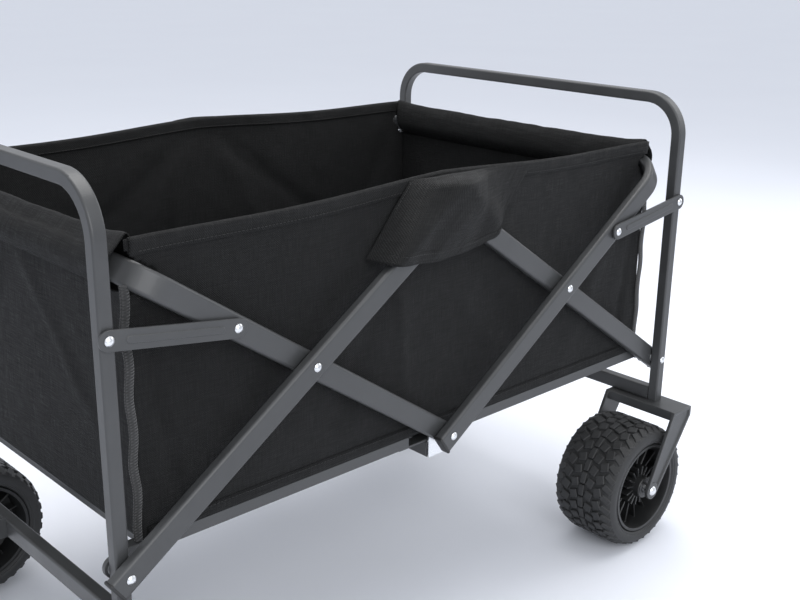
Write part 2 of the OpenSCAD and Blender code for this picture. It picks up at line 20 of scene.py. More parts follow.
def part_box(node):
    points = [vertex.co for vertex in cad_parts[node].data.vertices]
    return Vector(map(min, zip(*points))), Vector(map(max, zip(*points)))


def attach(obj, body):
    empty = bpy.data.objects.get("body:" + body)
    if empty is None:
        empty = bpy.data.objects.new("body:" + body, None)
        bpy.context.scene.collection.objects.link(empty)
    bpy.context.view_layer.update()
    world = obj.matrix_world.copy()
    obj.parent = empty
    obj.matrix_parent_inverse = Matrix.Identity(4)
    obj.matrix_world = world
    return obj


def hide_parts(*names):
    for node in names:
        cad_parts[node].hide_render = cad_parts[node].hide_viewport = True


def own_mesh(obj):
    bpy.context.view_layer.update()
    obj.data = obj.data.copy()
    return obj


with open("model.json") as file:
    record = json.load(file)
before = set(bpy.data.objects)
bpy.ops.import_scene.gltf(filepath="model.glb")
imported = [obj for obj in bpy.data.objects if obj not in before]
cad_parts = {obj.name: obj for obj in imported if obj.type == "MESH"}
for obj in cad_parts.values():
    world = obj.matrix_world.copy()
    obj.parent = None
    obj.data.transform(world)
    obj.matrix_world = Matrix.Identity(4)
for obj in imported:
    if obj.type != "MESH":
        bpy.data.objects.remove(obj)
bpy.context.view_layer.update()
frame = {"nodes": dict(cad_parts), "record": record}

LOG = logging.getLogger("camp_wagon")


class Side(Enum):
    """The two long sides of the wagon, by the sign of Y."""

    LEFT = -1
    RIGHT = 1


class End(Enum):
    """The two ends of the wagon, by the sign of X from the scissor's middle."""

    REAR = 1
    FRONT = -1


@cache
def node_centre(name: str) -> Vector:
    """Return the middle of a CAD node's box."""
    low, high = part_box(name)
    return ((low + high) / 2).freeze()


# ---------------------------------------------------------------- shader graphs


class Graph:
    """A shader tree with short ways to add nodes and wire them."""

    def __init__(self, tree: bpy.types.NodeTree) -> None:
        """Keep the tree that the nodes go into."""
        self.tree = tree

    def add(self, kind: str, inputs: dict | None = None, **settings: object) -> bpy.types.Node:
        """Add one node.

        Args:
            kind: Blender's name of the node type, without its ShaderNode prefix.
            inputs: values or sockets by input name or number.
            settings: attributes of the node.

        Returns:
            The new node.
        """
        node = self.tree.nodes.new("ShaderNode" + kind)
        for key, value in settings.items():
            setattr(node, key, value)
        for key, value in (inputs or {}).items():
            if isinstance(value, bpy.types.NodeSocket):
                self.tree.links.new(value, node.inputs[key])
            else:
                node.inputs[key].default_value = value
        return node

    def math(self, operation: str, a: object, b: object = 0.0, clamp: bool = False) -> bpy.types.NodeSocket:
        """Return the result of one arithmetic step."""
        node = self.add("Math", {0: a, 1: b}, operation=operation, use_clamp=clamp)
        return node.outputs[0]

    def noise(
        self, vector: object, scale: float, detail: float = 2.0, rough: float = 0.5
    ) -> bpy.types.NodeSocket:
        """Return a noise value from 0 to 1."""
        node = self.add("TexNoise", {"Vector": vector, "Scale": scale, "Detail": detail, "Roughness": rough})
        return node.outputs["Fac"]

    def span(
        self, value: object, low: float, high: float, new_low: float, new_high: float
    ) -> bpy.types.NodeSocket:
        """Return the value moved from one range to another and clamped."""
        node = self.add("MapRange", {0: value, 1: low, 2: high, 3: new_low, 4: new_high})
        return node.outputs[0]

    def blend(self, share: object, first: object, second: object) -> bpy.types.NodeSocket:
        """Return a colour between two colours."""
        node = self.add("Mix", {0: share, 6: first, 7: second}, data_type="RGBA")
        return node.outputs[2]

    def bump(
        self, height: object, distance: float, strength: float = 1.0, normal: object = None
    ) -> bpy.types.NodeSocket:
        """Return a normal tilted by a height."""
        inputs = {"Height": height, "Distance": distance, "Strength": strength}
        if normal is not None:
            inputs["Normal"] = normal
        return self.add("Bump", inputs).outputs["Normal"]


def new_group(
    name: str, inputs: Sequence[tuple[str, str, object]], outputs: Sequence[tuple[str, str]]
) -> tuple:
    """Make an empty node group with its sockets.

    Args:
        name: the group's name.
        inputs: name, socket type and default of each input.
        outputs: name and socket type of each output.

    Returns:
        The group's tree, a graph on it, its input node and its output node.
    """
    tree = bpy.data.node_groups.new(name, "ShaderNodeTree")
    for label, kind, default in inputs:
        socket = tree.interface.new_socket(name=label, in_out="INPUT", socket_type="NodeSocket" + kind)
        if default is not None:
            socket.default_value = default
    for label, kind in outputs:
        tree.interface.new_socket(name=label, in_out="OUTPUT", socket_type="NodeSocket" + kind)
    return tree, Graph(tree), tree.nodes.new("NodeGroupInput"), tree.nodes.new("NodeGroupOutput")


def weave_group() -> bpy.types.NodeTree:
    """Build the woven cloth: crossed threads from a vector in metres, with slubs and a painted glint on the
    thread crowns.
    """
    inputs = (("Vector", "Vector", None), ("Threads", "Float", 450.0))
    outputs = (("Height", "Float"), ("Painted crown glint", "Float"), ("Slub", "Float"))
    tree, graph, start, end = new_group("Oxford weave", inputs, outputs)
    wobble = graph.add("TexNoise", {"Vector": start.outputs["Vector"], "Scale": 60.0, "Detail": 2.0})
    drift = graph.add(
        "VectorMath", {0: wobble.outputs["Color"], 1: (0.0011, 0.0011, 0.0)}, operation="MULTIPLY")
    moved = graph.add("VectorMath", {0: start.outputs["Vector"], 1: drift.outputs[0]}, operation="ADD")
    apart = graph.add("SeparateXYZ", {0: moved.outputs[0]})
    turns = graph.math("MULTIPLY", start.outputs["Threads"], 2 * math.pi)
    warp = graph.math("SINE", graph.math("MULTIPLY", apart.outputs["X"], turns))
    weft = graph.math("SINE", graph.math("MULTIPLY", apart.outputs["Y"], turns))
    crossing = graph.math("MULTIPLY", warp, weft)
    height = graph.math("MULTIPLY_ADD", crossing, 0.5)
    height.node.inputs[2].default_value = 0.5
    stretched = graph.add("Mapping", {"Vector": start.outputs["Vector"], "Scale": (40.0, 700.0, 1.0)})
    across = graph.add("Mapping", {"Vector": start.outputs["Vector"], "Scale": (700.0, 40.0, 1.0)})
    slub = graph.math(
        "MULTIPLY", graph.noise(stretched.outputs[0], 1.0, 3.0), graph.noise(across.outputs[0], 1.0, 3.0))
    tree.links.new(height, end.inputs["Height"])
    # The thread crowns' mask below is a painted glint: the cloth lightens its colour with it.
    tree.links.new(graph.math("POWER", height, 5.0), end.inputs["Painted crown glint"])
    tree.links.new(graph.span(slub, 0.12, 0.42, 0.0, 1.0), end.inputs["Slub"])
    return tree


def edge_group() -> bpy.types.NodeTree:
    """Build edge wear: a rounded normal and a mask of the outer edges, broken by noise."""
    inputs = (("Vector", "Vector", None), ("Radius", "Float", 0.0012), ("Break scale", "Float", 300.0))
    outputs = (("Mask", "Float"), ("Normal", "Vector"))
    tree, graph, start, end = new_group("Edge wear", inputs, outputs)
    bevel = graph.add("Bevel", {"Radius": start.outputs["Radius"]}, samples=4)
    here = graph.add("NewGeometry")
    facing = graph.add(
        "VectorMath", {0: bevel.outputs[0], 1: here.outputs["Normal"]}, operation="DOT_PRODUCT")
    edge = graph.span(facing.outputs["Value"], 0.995, 0.86, 0.0, 1.0)
    patches = graph.noise(start.outputs["Vector"], 1.0, 4.0, 0.6)
    patches.node.inputs["Scale"].default_value = 300.0
    tree.links.new(start.outputs["Break scale"], patches.node.inputs["Scale"])
    worn = graph.math("MULTIPLY", edge, graph.span(patches, 0.35, 0.7, 0.25, 1.0))
    tree.links.new(worn, end.inputs["Mask"])
    tree.links.new(bevel.outputs[0], end.inputs["Normal"])
    return tree


def grain_group() -> bpy.types.NodeTree:
    """Build a fine grain with slow handling marks over it."""
    inputs = (("Vector", "Vector", None), ("Grain scale", "Float", 1400.0), ("Mark scale", "Float", 22.0))
    outputs = (("Grain", "Float"), ("Marks", "Float"))
    tree, graph, start, end = new_group("Grain and marks", inputs, outputs)
    grain = graph.noise(start.outputs["Vector"], 1.0, 3.0, 0.55)
    tree.links.new(start.outputs["Grain scale"], grain.node.inputs["Scale"])
    marks = graph.noise(start.outputs["Vector"], 1.0, 5.0, 0.62)
    tree.links.new(start.outputs["Mark scale"], marks.node.inputs["Scale"])
    tree.links.new(grain, end.inputs["Grain"])
    tree.links.new(graph.span(marks, 0.3, 0.72, 0.0, 1.0), end.inputs["Marks"])
    return tree


Colour = tuple[float, float, float, float]


def grey(level: float, tint: float = 0.0) -> Colour:
    """Return a grey with a slight blue tint."""
    return (level * (1 - tint), level, level * (1 + tint), 1.0)


class Groups:
    """The shared node groups, each built once."""

    def __init__(self) -> None:
        """Build the three groups."""
        self.weave = weave_group()
        self.edge = edge_group()
        self.grain = grain_group()


GROUPS = Groups()


def start_material(name: str) -> tuple[bpy.types.Material, Graph, bpy.types.Node]:
    """Make a material and return it with its graph and its shader node."""
    material = bpy.data.materials.new(name)
    material.use_nodes = True
    graph = Graph(material.node_tree)
    return material, graph, material.node_tree.nodes["Principled BSDF"]


def use_group(graph: Graph, group: bpy.types.NodeTree, inputs: dict) -> bpy.types.Node:
    """Place a node group in a material with its own values."""
    node = graph.tree.nodes.new("ShaderNodeGroup")
    node.node_tree = group
    for key, value in inputs.items():
        if isinstance(value, bpy.types.NodeSocket):
            graph.tree.links.new(value, node.inputs[key])
        else:
            node.inputs[key].default_value = value
    return node


@dataclass(frozen=True)
class HardFinish:
    """A finish for metal, rubber or plastic, on Object coordinates.

    The grain tilts the normal, the marks change the roughness and the edges wear lighter.
    """

    name: str
    slot: str
    dark: Colour
    light: Colour
    worn: Colour
    rough_low: float
    rough_high: float
    metallic: float = 0.0
    grain_scale: float = 1400.0
    grain_depth: float = 0.00004
    mark_scale: float = 22.0
    edge_radius: float = 0.0012
    edge_share: float = 0.5
    coat: float = 0.0
    specular: float = 0.5
    stretch: tuple[float, float, float] = (1.0, 1.0, 1.0)

    def build(self) -> bpy.types.Material:
        """Return the finish as a material."""
        material, graph, shader = start_material(self.name)
        place = graph.add("TexCoord").outputs["Object"]
        drawn = graph.add("Mapping", {"Vector": place, "Scale": self.stretch}).outputs[0]
        grain = use_group(
            graph, GROUPS.grain,
            {"Vector": drawn, "Grain scale": self.grain_scale, "Mark scale": self.mark_scale})
        edge = use_group(graph, GROUPS.edge, {"Vector": place, "Radius": self.edge_radius})
        body = graph.blend(grain.outputs["Marks"], self.dark, self.light)
        share = graph.math("MULTIPLY", edge.outputs["Mask"], self.edge_share)
        graph.tree.links.new(graph.blend(share, body, self.worn), shader.inputs["Base Color"])
        mixed = graph.math("MULTIPLY_ADD", grain.outputs["Grain"], 0.35)
        graph.tree.links.new(grain.outputs["Marks"], mixed.node.inputs[2])
        rough = graph.span(mixed, 0.1, 1.2, self.rough_low, self.rough_high)
        graph.tree.links.new(rough, shader.inputs["Roughness"])
        normal = graph.bump(grain.outputs["Grain"], self.grain_depth, 0.8, edge.outputs["Normal"])
        graph.tree.links.new(normal, shader.inputs["Normal"])
        shader.inputs["Metallic"].default_value = self.metallic
        shader.inputs["Coat Weight"].default_value = self.coat
        shader.inputs["Specular IOR Level"].default_value = self.specular
        return material


@dataclass(frozen=True)
class ClothFinish:
    """A woven finish on a piece's own map, whose unit is a metre of cloth, lightened by a painted glint on
    the thread crowns and by handling marks.
    """

    name: str
    slot: str
    dark: Colour
    light: Colour
    threads: float = 450.0
    depth: float = 0.0006
    rough_low: float = 0.5
    rough_high: float = 0.8
    sheen: float = 0.25
    specular: float = 0.5

    def build(self) -> bpy.types.Material:
        """Return the finish as a material."""
        material, graph, shader = start_material(self.name)
        cloth = graph.add("UVMap", None, uv_map="Cloth").outputs[0]
        place = graph.add("TexCoord").outputs["Object"]
        weave = use_group(graph, GROUPS.weave, {"Vector": cloth, "Threads": self.threads})
        marks = use_group(graph, GROUPS.grain, {"Vector": place, "Grain scale": 1800.0, "Mark scale": 9.0})
        # Painted glint: the thread crowns are lightened in the base colour, together with the real handling
        # marks.
        painted_glint = graph.math(
            "MULTIPLY", weave.outputs["Painted crown glint"], graph.span(weave.outputs["Slub"], 0.0, 1.0, 0.35, 1.0))
        glint_and_marks = graph.math("ADD", painted_glint, graph.span(marks.outputs["Marks"], 0.0, 1.0, 0.0, 0.18), clamp=True)
        graph.tree.links.new(graph.blend(glint_and_marks, self.dark, self.light), shader.inputs["Base Color"])
        rough = graph.span(weave.outputs["Slub"], 0.0, 1.0, self.rough_high, self.rough_low)
        graph.tree.links.new(rough, shader.inputs["Roughness"])
        height = graph.math("MULTIPLY_ADD", weave.outputs["Slub"], 0.4)
        graph.tree.links.new(weave.outputs["Height"], height.node.inputs[2])
        graph.tree.links.new(graph.bump(height, self.depth, 0.9), shader.inputs["Normal"])
        shader.inputs["Sheen Weight"].default_value = self.sheen
        shader.inputs["Sheen Roughness"].default_value = 0.5
        shader.inputs["Specular IOR Level"].default_value = self.specular
        return material


class Finishes:
    """Every finish of the wagon, as a material with the record's slot it stands for."""

    def __init__(self) -> None:
        """Build the materials."""
        self.slots: dict[str, str] = {}
        self.frame_coat = self.keep(HardFinish(
            "Satin dark powder coat", "frame_steel", grey(0.034, 0.03), grey(0.045, 0.03), grey(0.10, 0.02),
            0.36, 0.52, grain_depth=0.00003, edge_share=0.55, coat=0.08))
        self.zinc = self.keep(HardFinish(
            "Bright zinc plate", "zinc_steel", grey(0.66, 0.02), grey(0.78, 0.01), grey(0.86),
            0.2, 0.36, metallic=1.0, grain_scale=900.0, grain_depth=0.00002, edge_radius=0.0004))
        self.slider = self.keep(HardFinish(
            "Drawn aluminium tube", "inner_tube_aluminium", grey(0.5, 0.01), grey(0.6, 0.01), grey(0.75),
            0.26, 0.42, metallic=1.0, grain_depth=0.00002, stretch=(1.0, 1.0, 0.05)))
        self.rubber = self.keep(HardFinish(
            "Moulded tyre rubber", "tyre_rubber", grey(0.016, 0.02), grey(0.026, 0.02), grey(0.06),
            0.5, 0.72, grain_scale=1100.0, grain_depth=0.00006, edge_radius=0.0008, edge_share=0.4))
        self.rim = self.keep(HardFinish(
            "Moulded black rim", "rim_plastic", grey(0.01, 0.02), grey(0.016, 0.02), grey(0.035),
            0.34, 0.5, grain_scale=2200.0, grain_depth=0.00003, edge_radius=0.0006))
        self.cap = self.keep(HardFinish(
            "Black end cap", "grip_plastic", grey(0.009), grey(0.014), grey(0.03),
            0.4, 0.56, grain_scale=2600.0, grain_depth=0.00003, edge_radius=0.0006))
        self.grip = self.keep(HardFinish(
            "Soft-touch grip", "grip_plastic", grey(0.012), grey(0.018), grey(0.03),
            0.55, 0.72, grain_scale=2400.0, grain_depth=0.00005, edge_radius=0.001))
        self.button = self.keep(HardFinish(
            "Glossy grey button", "button_plastic", grey(0.16, 0.02), grey(0.19, 0.02), grey(0.26),
            0.2, 0.32, grain_depth=0.00001, edge_radius=0.0005))
        # The cloth finishes' light colours are a painted glint on the thread crowns, with handling marks.
        self.cloth = self.keep(ClothFinish(
            "Black Oxford cloth", "tub_fabric", grey(0.003, 0.03), grey(0.015, 0.03),
            depth=0.0008, sheen=0.02, specular=0.2))
        self.lining = self.keep(ClothFinish(
            "Coated cloth inside", "tub_fabric", grey(0.004, 0.03), grey(0.011, 0.03), depth=0.0004,
            sheen=0.03, specular=0.25))
        self.tape = self.keep(ClothFinish(
            "Woven binding tape", "tub_fabric", grey(0.006), grey(0.05), threads=330.0, depth=0.0009))
        self.thread = self.keep(HardFinish(
            "Black sewing thread", "tub_fabric", grey(0.006), grey(0.012), grey(0.03),
            0.45, 0.6, grain_scale=3000.0, grain_depth=0.00005, edge_radius=0.0002))

    def keep(self, finish: HardFinish | ClothFinish) -> bpy.types.Material:
        """Build a finish and remember its slot."""
        material = finish.build()
        self.slots[material.name] = finish.slot
        return material


FINISHES = Finishes()


# ---------------------------------------------------------------- making pieces


def add_piece(
    mesh: bmesh.types.BMesh,
    name: str,
    material: bpy.types.Material,
    replaces: Sequence[str] = (),
    smooth: float = 35.0,
) -> bpy.types.Object:
    """Turn a bmesh into a piece of the scene.

    Args:
        mesh: the shape, which is freed.
        name: the piece's name.
        material: its finish.
        replaces: the CAD nodes that it stands for.
        smooth: edges sharper than this many degrees stay sharp.

    Returns:
        The new object, at the origin and unturned.
    """
    data = bpy.data.meshes.new(name)
    for face in mesh.faces:
        face.smooth = True
    for edge in mesh.edges:
        if len(edge.link_faces) == 2 and edge.calc_face_angle() > math.radians(smooth):
            edge.smooth = False
    mesh.to_mesh(data)
    mesh.free()
    data.materials.append(material)
    piece = bpy.data.objects.new(name, data)
    bpy.context.scene.collection.objects.link(piece)
    if replaces:
        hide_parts(*replaces)
    LOG.info("%s: %d faces", name, len(data.polygons))
    return piece


def mapped_grid(
    across: int, along: int, size: tuple[float, float], place: Callable[[float, float], Vector],
    closed: bool = False
) -> bmesh.types.BMesh:
    """Lay a grid on a surface and map the cloth on it in metres.

    Args:
        across: number of cells along u.
        along: number of cells along v.
        size: the cloth's width and length in metres.
        place: gives the point for u and v from 0 to 1.
        closed: whether the first and the last column meet.

    Returns:
        The grid as a bmesh.
    """
    mesh = bmesh.new()
    bmesh.ops.create_grid(mesh, x_segments=across, y_segments=along, size=0.5)
    layer = mesh.loops.layers.uv.new("Cloth")
    for face in mesh.faces:
        for loop in face.loops:
            loop[layer].uv = ((loop.vert.co.x + 0.5) * size[0], (loop.vert.co.y + 0.5) * size[1])
    for vert in mesh.verts:
        vert.co = place(vert.co.x + 0.5, vert.co.y + 0.5)
    if closed:
        bmesh.ops.remove_doubles(mesh, verts=mesh.verts, dist=1e-5)
        bmesh.ops.recalc_face_normals(mesh, faces=mesh.faces)
    return mesh


def thicken(piece: bpy.types.Object, thickness: float, offset: float = 0.0) -> bpy.types.Object:
    """Give a sheet its thickness."""
    solid = piece.modifiers.new("Thickness", "SOLIDIFY")
    solid.thickness = thickness
    solid.offset = offset
    return piece


def round_edges(piece: bpy.types.Object, width: float, segments: int = 2) -> bpy.types.Object:
    """Round the sharp edges of a hard piece."""
    bevel = piece.modifiers.new("Rounded edges", "BEVEL")
    bevel.width = width
    bevel.segments = segments
    bevel.limit_method = "ANGLE"
    bevel.angle_limit = math.radians(32)
    bevel.harden_normals = False
    return piece


def template(mesh: bmesh.types.BMesh, name: str) -> bpy.types.Mesh:
    """Keep a small shape that is stamped many times."""
    data = bpy.data.meshes.new(name)
    mesh.to_mesh(data)
    mesh.free()
    return data


def stamp(mesh: bmesh.types.BMesh, shape: bpy.types.Mesh, matrix: Matrix) -> None:
    """Copy a kept shape into a mesh at a place."""
    placed = shape.copy()
    placed.transform(matrix)
    mesh.from_mesh(placed)
    bpy.data.meshes.remove(placed)


def box_shape(size: Sequence[float], bevel: float, segments: int = 1) -> bpy.types.Mesh:
    """Return a box with rounded edges, kept for stamping.

    Args:
        size: the box's three sides.
        bevel: the radius of its edges.
        segments: the faces across an edge.

    Returns:
        The kept shape.
    """
    mesh = bmesh.new()
    bmesh.ops.create_cube(mesh, size=1.0)
    bmesh.ops.scale(mesh, vec=Vector(size), verts=mesh.verts)
    bmesh.ops.bevel(
        mesh, geom=mesh.edges[:], offset=bevel, affect="EDGES", segments=segments, profile=0.5, material=-1)
    return template(mesh, "block")


def spin_profile(
    profile: Sequence[tuple[float, float]], steps: int, turn: float = 2 * math.pi
) -> bmesh.types.BMesh:
    """Turn a profile of radius and width around the Y axis.

    Args:
        profile: radius and Y of each point.
        steps: the number of steps of the turn.
        turn: the angle of the turn.

    Returns:
        The turned shape.
    """
    mesh = bmesh.new()
    points = [mesh.verts.new((radius, across, 0.0)) for radius, across in profile]
    edges = [mesh.edges.new(pair) for pair in zip(points, points[1:] + points[:1])]
    bmesh.ops.spin(
        mesh, geom=points + edges, cent=(0, 0, 0), axis=(0, 1, 0), angle=turn, steps=steps, use_merge=True)
    bmesh.ops.recalc_face_normals(mesh, faces=mesh.faces)
    return mesh


def stitch_shape() -> bpy.types.Mesh:
    """Return one stitch along Z as a short six-sided rod."""
    mesh = bmesh.new()
    bmesh.ops.create_cone(mesh, cap_ends=True, segments=6, radius1=0.00042, radius2=0.00042, depth=0.0029)
    return template(mesh, "stitch")


STITCH = stitch_shape()


def add_stitches(mesh: bmesh.types.BMesh, path: Sequence[Vector], out: Vector, pitch: float = 0.0045) -> None:
    """Add a row of stitches along a path.

    Args:
        mesh: the mesh that they go into.
        path: points along the seam.
        out: the side on which the thread lies.
        pitch: the distance from one stitch to the next.
    """
    wait = pitch / 2
    for start, end in zip(path, path[1:]):
        step = end - start
        if step.length < 1e-6:
            continue
        way = step.normalized()
        turn = way.to_track_quat("Z", "Y").to_matrix().to_4x4()
        at = wait
        while at < step.length:
            stamp(mesh, STITCH, Matrix.Translation(start + way * at + out * 0.0002) @ turn)
            at += pitch
        wait = at - step.length


def ripple(x: float, z: float, seed: float, scale: float = 9.0) -> float:
    """Return slow, soft noise from about -1 to 1 for a spot on a cloth."""
    spot = Vector((x * scale, z * scale, seed))
    return noise.noise(spot) + 0.45 * noise.noise(spot * 2.3) + 0.2 * noise.noise(spot * 5.1)


def crease(x: float, z: float, start: tuple[float, float], end: tuple[float, float], width: float) -> float:
    """Return the height of a fold from 0 to 1, highest along a line and fading at its ends."""
    a, b, p = Vector(start), Vector(end), Vector((x, z))
    way = b - a
    share = max(0.0, min(1.0, (p - a).dot(way) / way.length_squared))
    away = (p - a - way * share).length
    fade = min(1.0, 4.0 * share + 0.25, 4.0 * (1.0 - share) + 0.05)
    return math.exp(-((away / width) ** 2)) * fade


def step_up(value: float, low: float, high: float) -> float:
    """Return a smooth step from 0 to 1."""
    share = max(0.0, min(1.0, (value - low) / (high - low)))
    return share * share * (3 - 2 * share)


# ---------------------------------------------------------------- the wagon's measures


@dataclass(frozen=True)
class Scissor:
    """The scissor of flat bars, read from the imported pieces."""

    slope: float = math.radians(34.3)
    bar_depth: float = 0.026
    bar_thickness: float = 0.013
    bar_end: float = 0.015
    foot_arm: float = 0.272
    inner_arm: float = 0.2485
    outer_layer: float = 0.2675
    inner_layer: float = 0.2525

    @property
    def mid_x(self) -> float:
        """X of the scissor's middle plane."""
        return node_centre("centre_crossbar").x

    @property
    def cross(self) -> Vector:
        """The rear crossing rivet, seen from the middle plane, in the side plane."""
        rivet = node_centre("rear_crossing_rivets")
        return Vector((rivet.x - self.mid_x, 0.0, rivet.z))

    @property
    def top_pivot(self) -> float:
        """Height of the top middle pivot."""
        return node_centre("top_pivot_rivets").z


SCISSOR = Scissor()
MID_X = SCISSOR.mid_x


def at_end(point: Vector, end: End) -> Vector:
    """Move a point that is measured from the middle plane to one of the two ends."""
    return Vector((MID_X + end.value * point.x, point.y, point.z))


# ---------------------------------------------------------------- wheels


@dataclass
class Wheel:
    """A wide wheel: a tyre with block tread on a deep ribbed rim."""

    radius: float = 0.09
    half_width: float = 0.05
    groove: float = 0.0038
    seat: float = 0.066
    rim_ribs: int = 16

    def tyre(self) -> bmesh.types.BMesh:
        """Return the carcass with its tread, around the Y axis."""
        floor = self.radius - self.groove
        half = self.half_width
        profile = [
            (self.seat, half - 0.0075), (self.seat + 0.0006, half - 0.0035),
            (self.seat + 0.0028, half - 0.0012),
            (self.seat + 0.0046, half - 0.0016), (self.seat + 0.0058, half - 0.0006),
            (self.seat + 0.0095, half), (self.seat + 0.0135, half - 0.0008),
            (self.seat + 0.0165, half - 0.0028),
            (floor - 0.0022, half - 0.0064), (floor - 0.0006, half - 0.0105),
            (floor, half - 0.016), (floor, 0.02),
        ]
        mirrored = [(radius, -across) for radius, across in reversed(profile)]
        mesh = spin_profile(profile + [(floor, 0.0)] + mirrored, 96)
        # Rows: distance from the middle, width, length, slant, blocks around, share of a pitch
        rows = (
            (0.0, 0.0085, 0.0165, 0.0, 30, 0.0),
            (0.0125, 0.0120, 0.0125, 0.30, 30, 0.5),
            (0.0268, 0.0125, 0.0128, -0.38, 30, 0.05),
        )
        depth = self.groove + 0.0012
        for middle, width, length, slant, count, shift in rows:
            block = box_shape((length, width, depth), 0.0009)
            for side in ((1, -1) if middle else (1,)):
                lying = Matrix.Translation((0.0, side * middle, self.radius - 0.0003 - depth / 2))
                start = shift + (0.25 if side < 0 else 0.0)
                self.around(mesh, block, lying @ Matrix.Rotation(side * slant, 4, "Z"), count, start)
        lug = box_shape((0.0085, 0.0155, 0.0046), 0.0009)
        for side in (1, -1):
            over = Matrix.Translation((0.0, side * (self.half_width - 0.0105), self.radius - 0.0052))
            lean = Matrix.Rotation(-side * 0.33, 4, "X") @ Matrix.Rotation(side * 0.55, 4, "Z")
            self.around(mesh, lug, over @ lean, 36, 0.5 if side < 0 else 0.0)
        return mesh

    def around(
        self, mesh: bmesh.types.BMesh, shape: bpy.types.Mesh, place: Matrix, count: int, start: float
    ) -> None:
        """Stamp a shape in equal steps around the axle."""
        for index in range(count):
            stamp(mesh, shape, Matrix.Rotation(2 * math.pi * (index + start) / count, 4, "Y") @ place)

    def rim(self) -> bmesh.types.BMesh:
        """Return the rim with its lips, barrel, web, hub and ribs, around the Y axis."""
        half = self.half_width
        wall = 0.0045
        barrel = self.seat - 0.0003
        lip = half - 0.004
        profile = [
            (barrel, -lip), (barrel - 0.001, -lip - 0.0016), (barrel - wall, -lip - 0.0014),
            (barrel - wall - 0.0008, -lip + 0.001), (barrel - wall - 0.0022, -0.02),
            (barrel - wall - 0.003, -0.012),
            (0.047, -0.0085), (0.046, -0.0105), (0.042, -0.0105), (0.041, -0.0075), (0.021, -0.0055),
            (0.0172, -0.014), (0.0155, -half + 0.0045), (0.0145, -half + 0.003), (0.0046, -half + 0.003),
        ]
        mirrored = [(radius, -across) for radius, across in reversed(profile)]
        mesh = spin_profile(profile + mirrored, 96)
        rib = box_shape((0.0024, 0.021, 0.046), 0.0007)
        gusset = box_shape((0.0024, 0.014, 0.014), 0.0007)
        for side in (1, -1):
            self.around(mesh, rib, Matrix.Translation((0.0, side * 0.0165, 0.0385)), self.rim_ribs, 0.5)
            self.around(mesh, gusset, Matrix.Translation((0.0, side * 0.0305, 0.0225)), self.rim_ribs, 0.5)
        return mesh

    def fit_all(self) -> None:
        """Put a tyre and a rim at each of the four corners."""
        made_parts = (("tyre", self.tyre(), FINISHES.rubber), ("rim", self.rim(), FINISHES.rim))
        for part, made, material in made_parts:
            for end in End:
                for side in Side:
                    node = f"{end.name.lower()}_{part}_{side.name.lower()}"
                    mesh = made.copy()
                    bmesh.ops.translate(mesh, vec=node_centre(node), verts=mesh.verts)
                    piece = add_piece(mesh, f"detailed_{node}", material, [node], 28)
                    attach(piece, f"{end.name.lower()}_wheel_{side.name.lower()}")


# ---------------------------------------------------------------- fabric tub


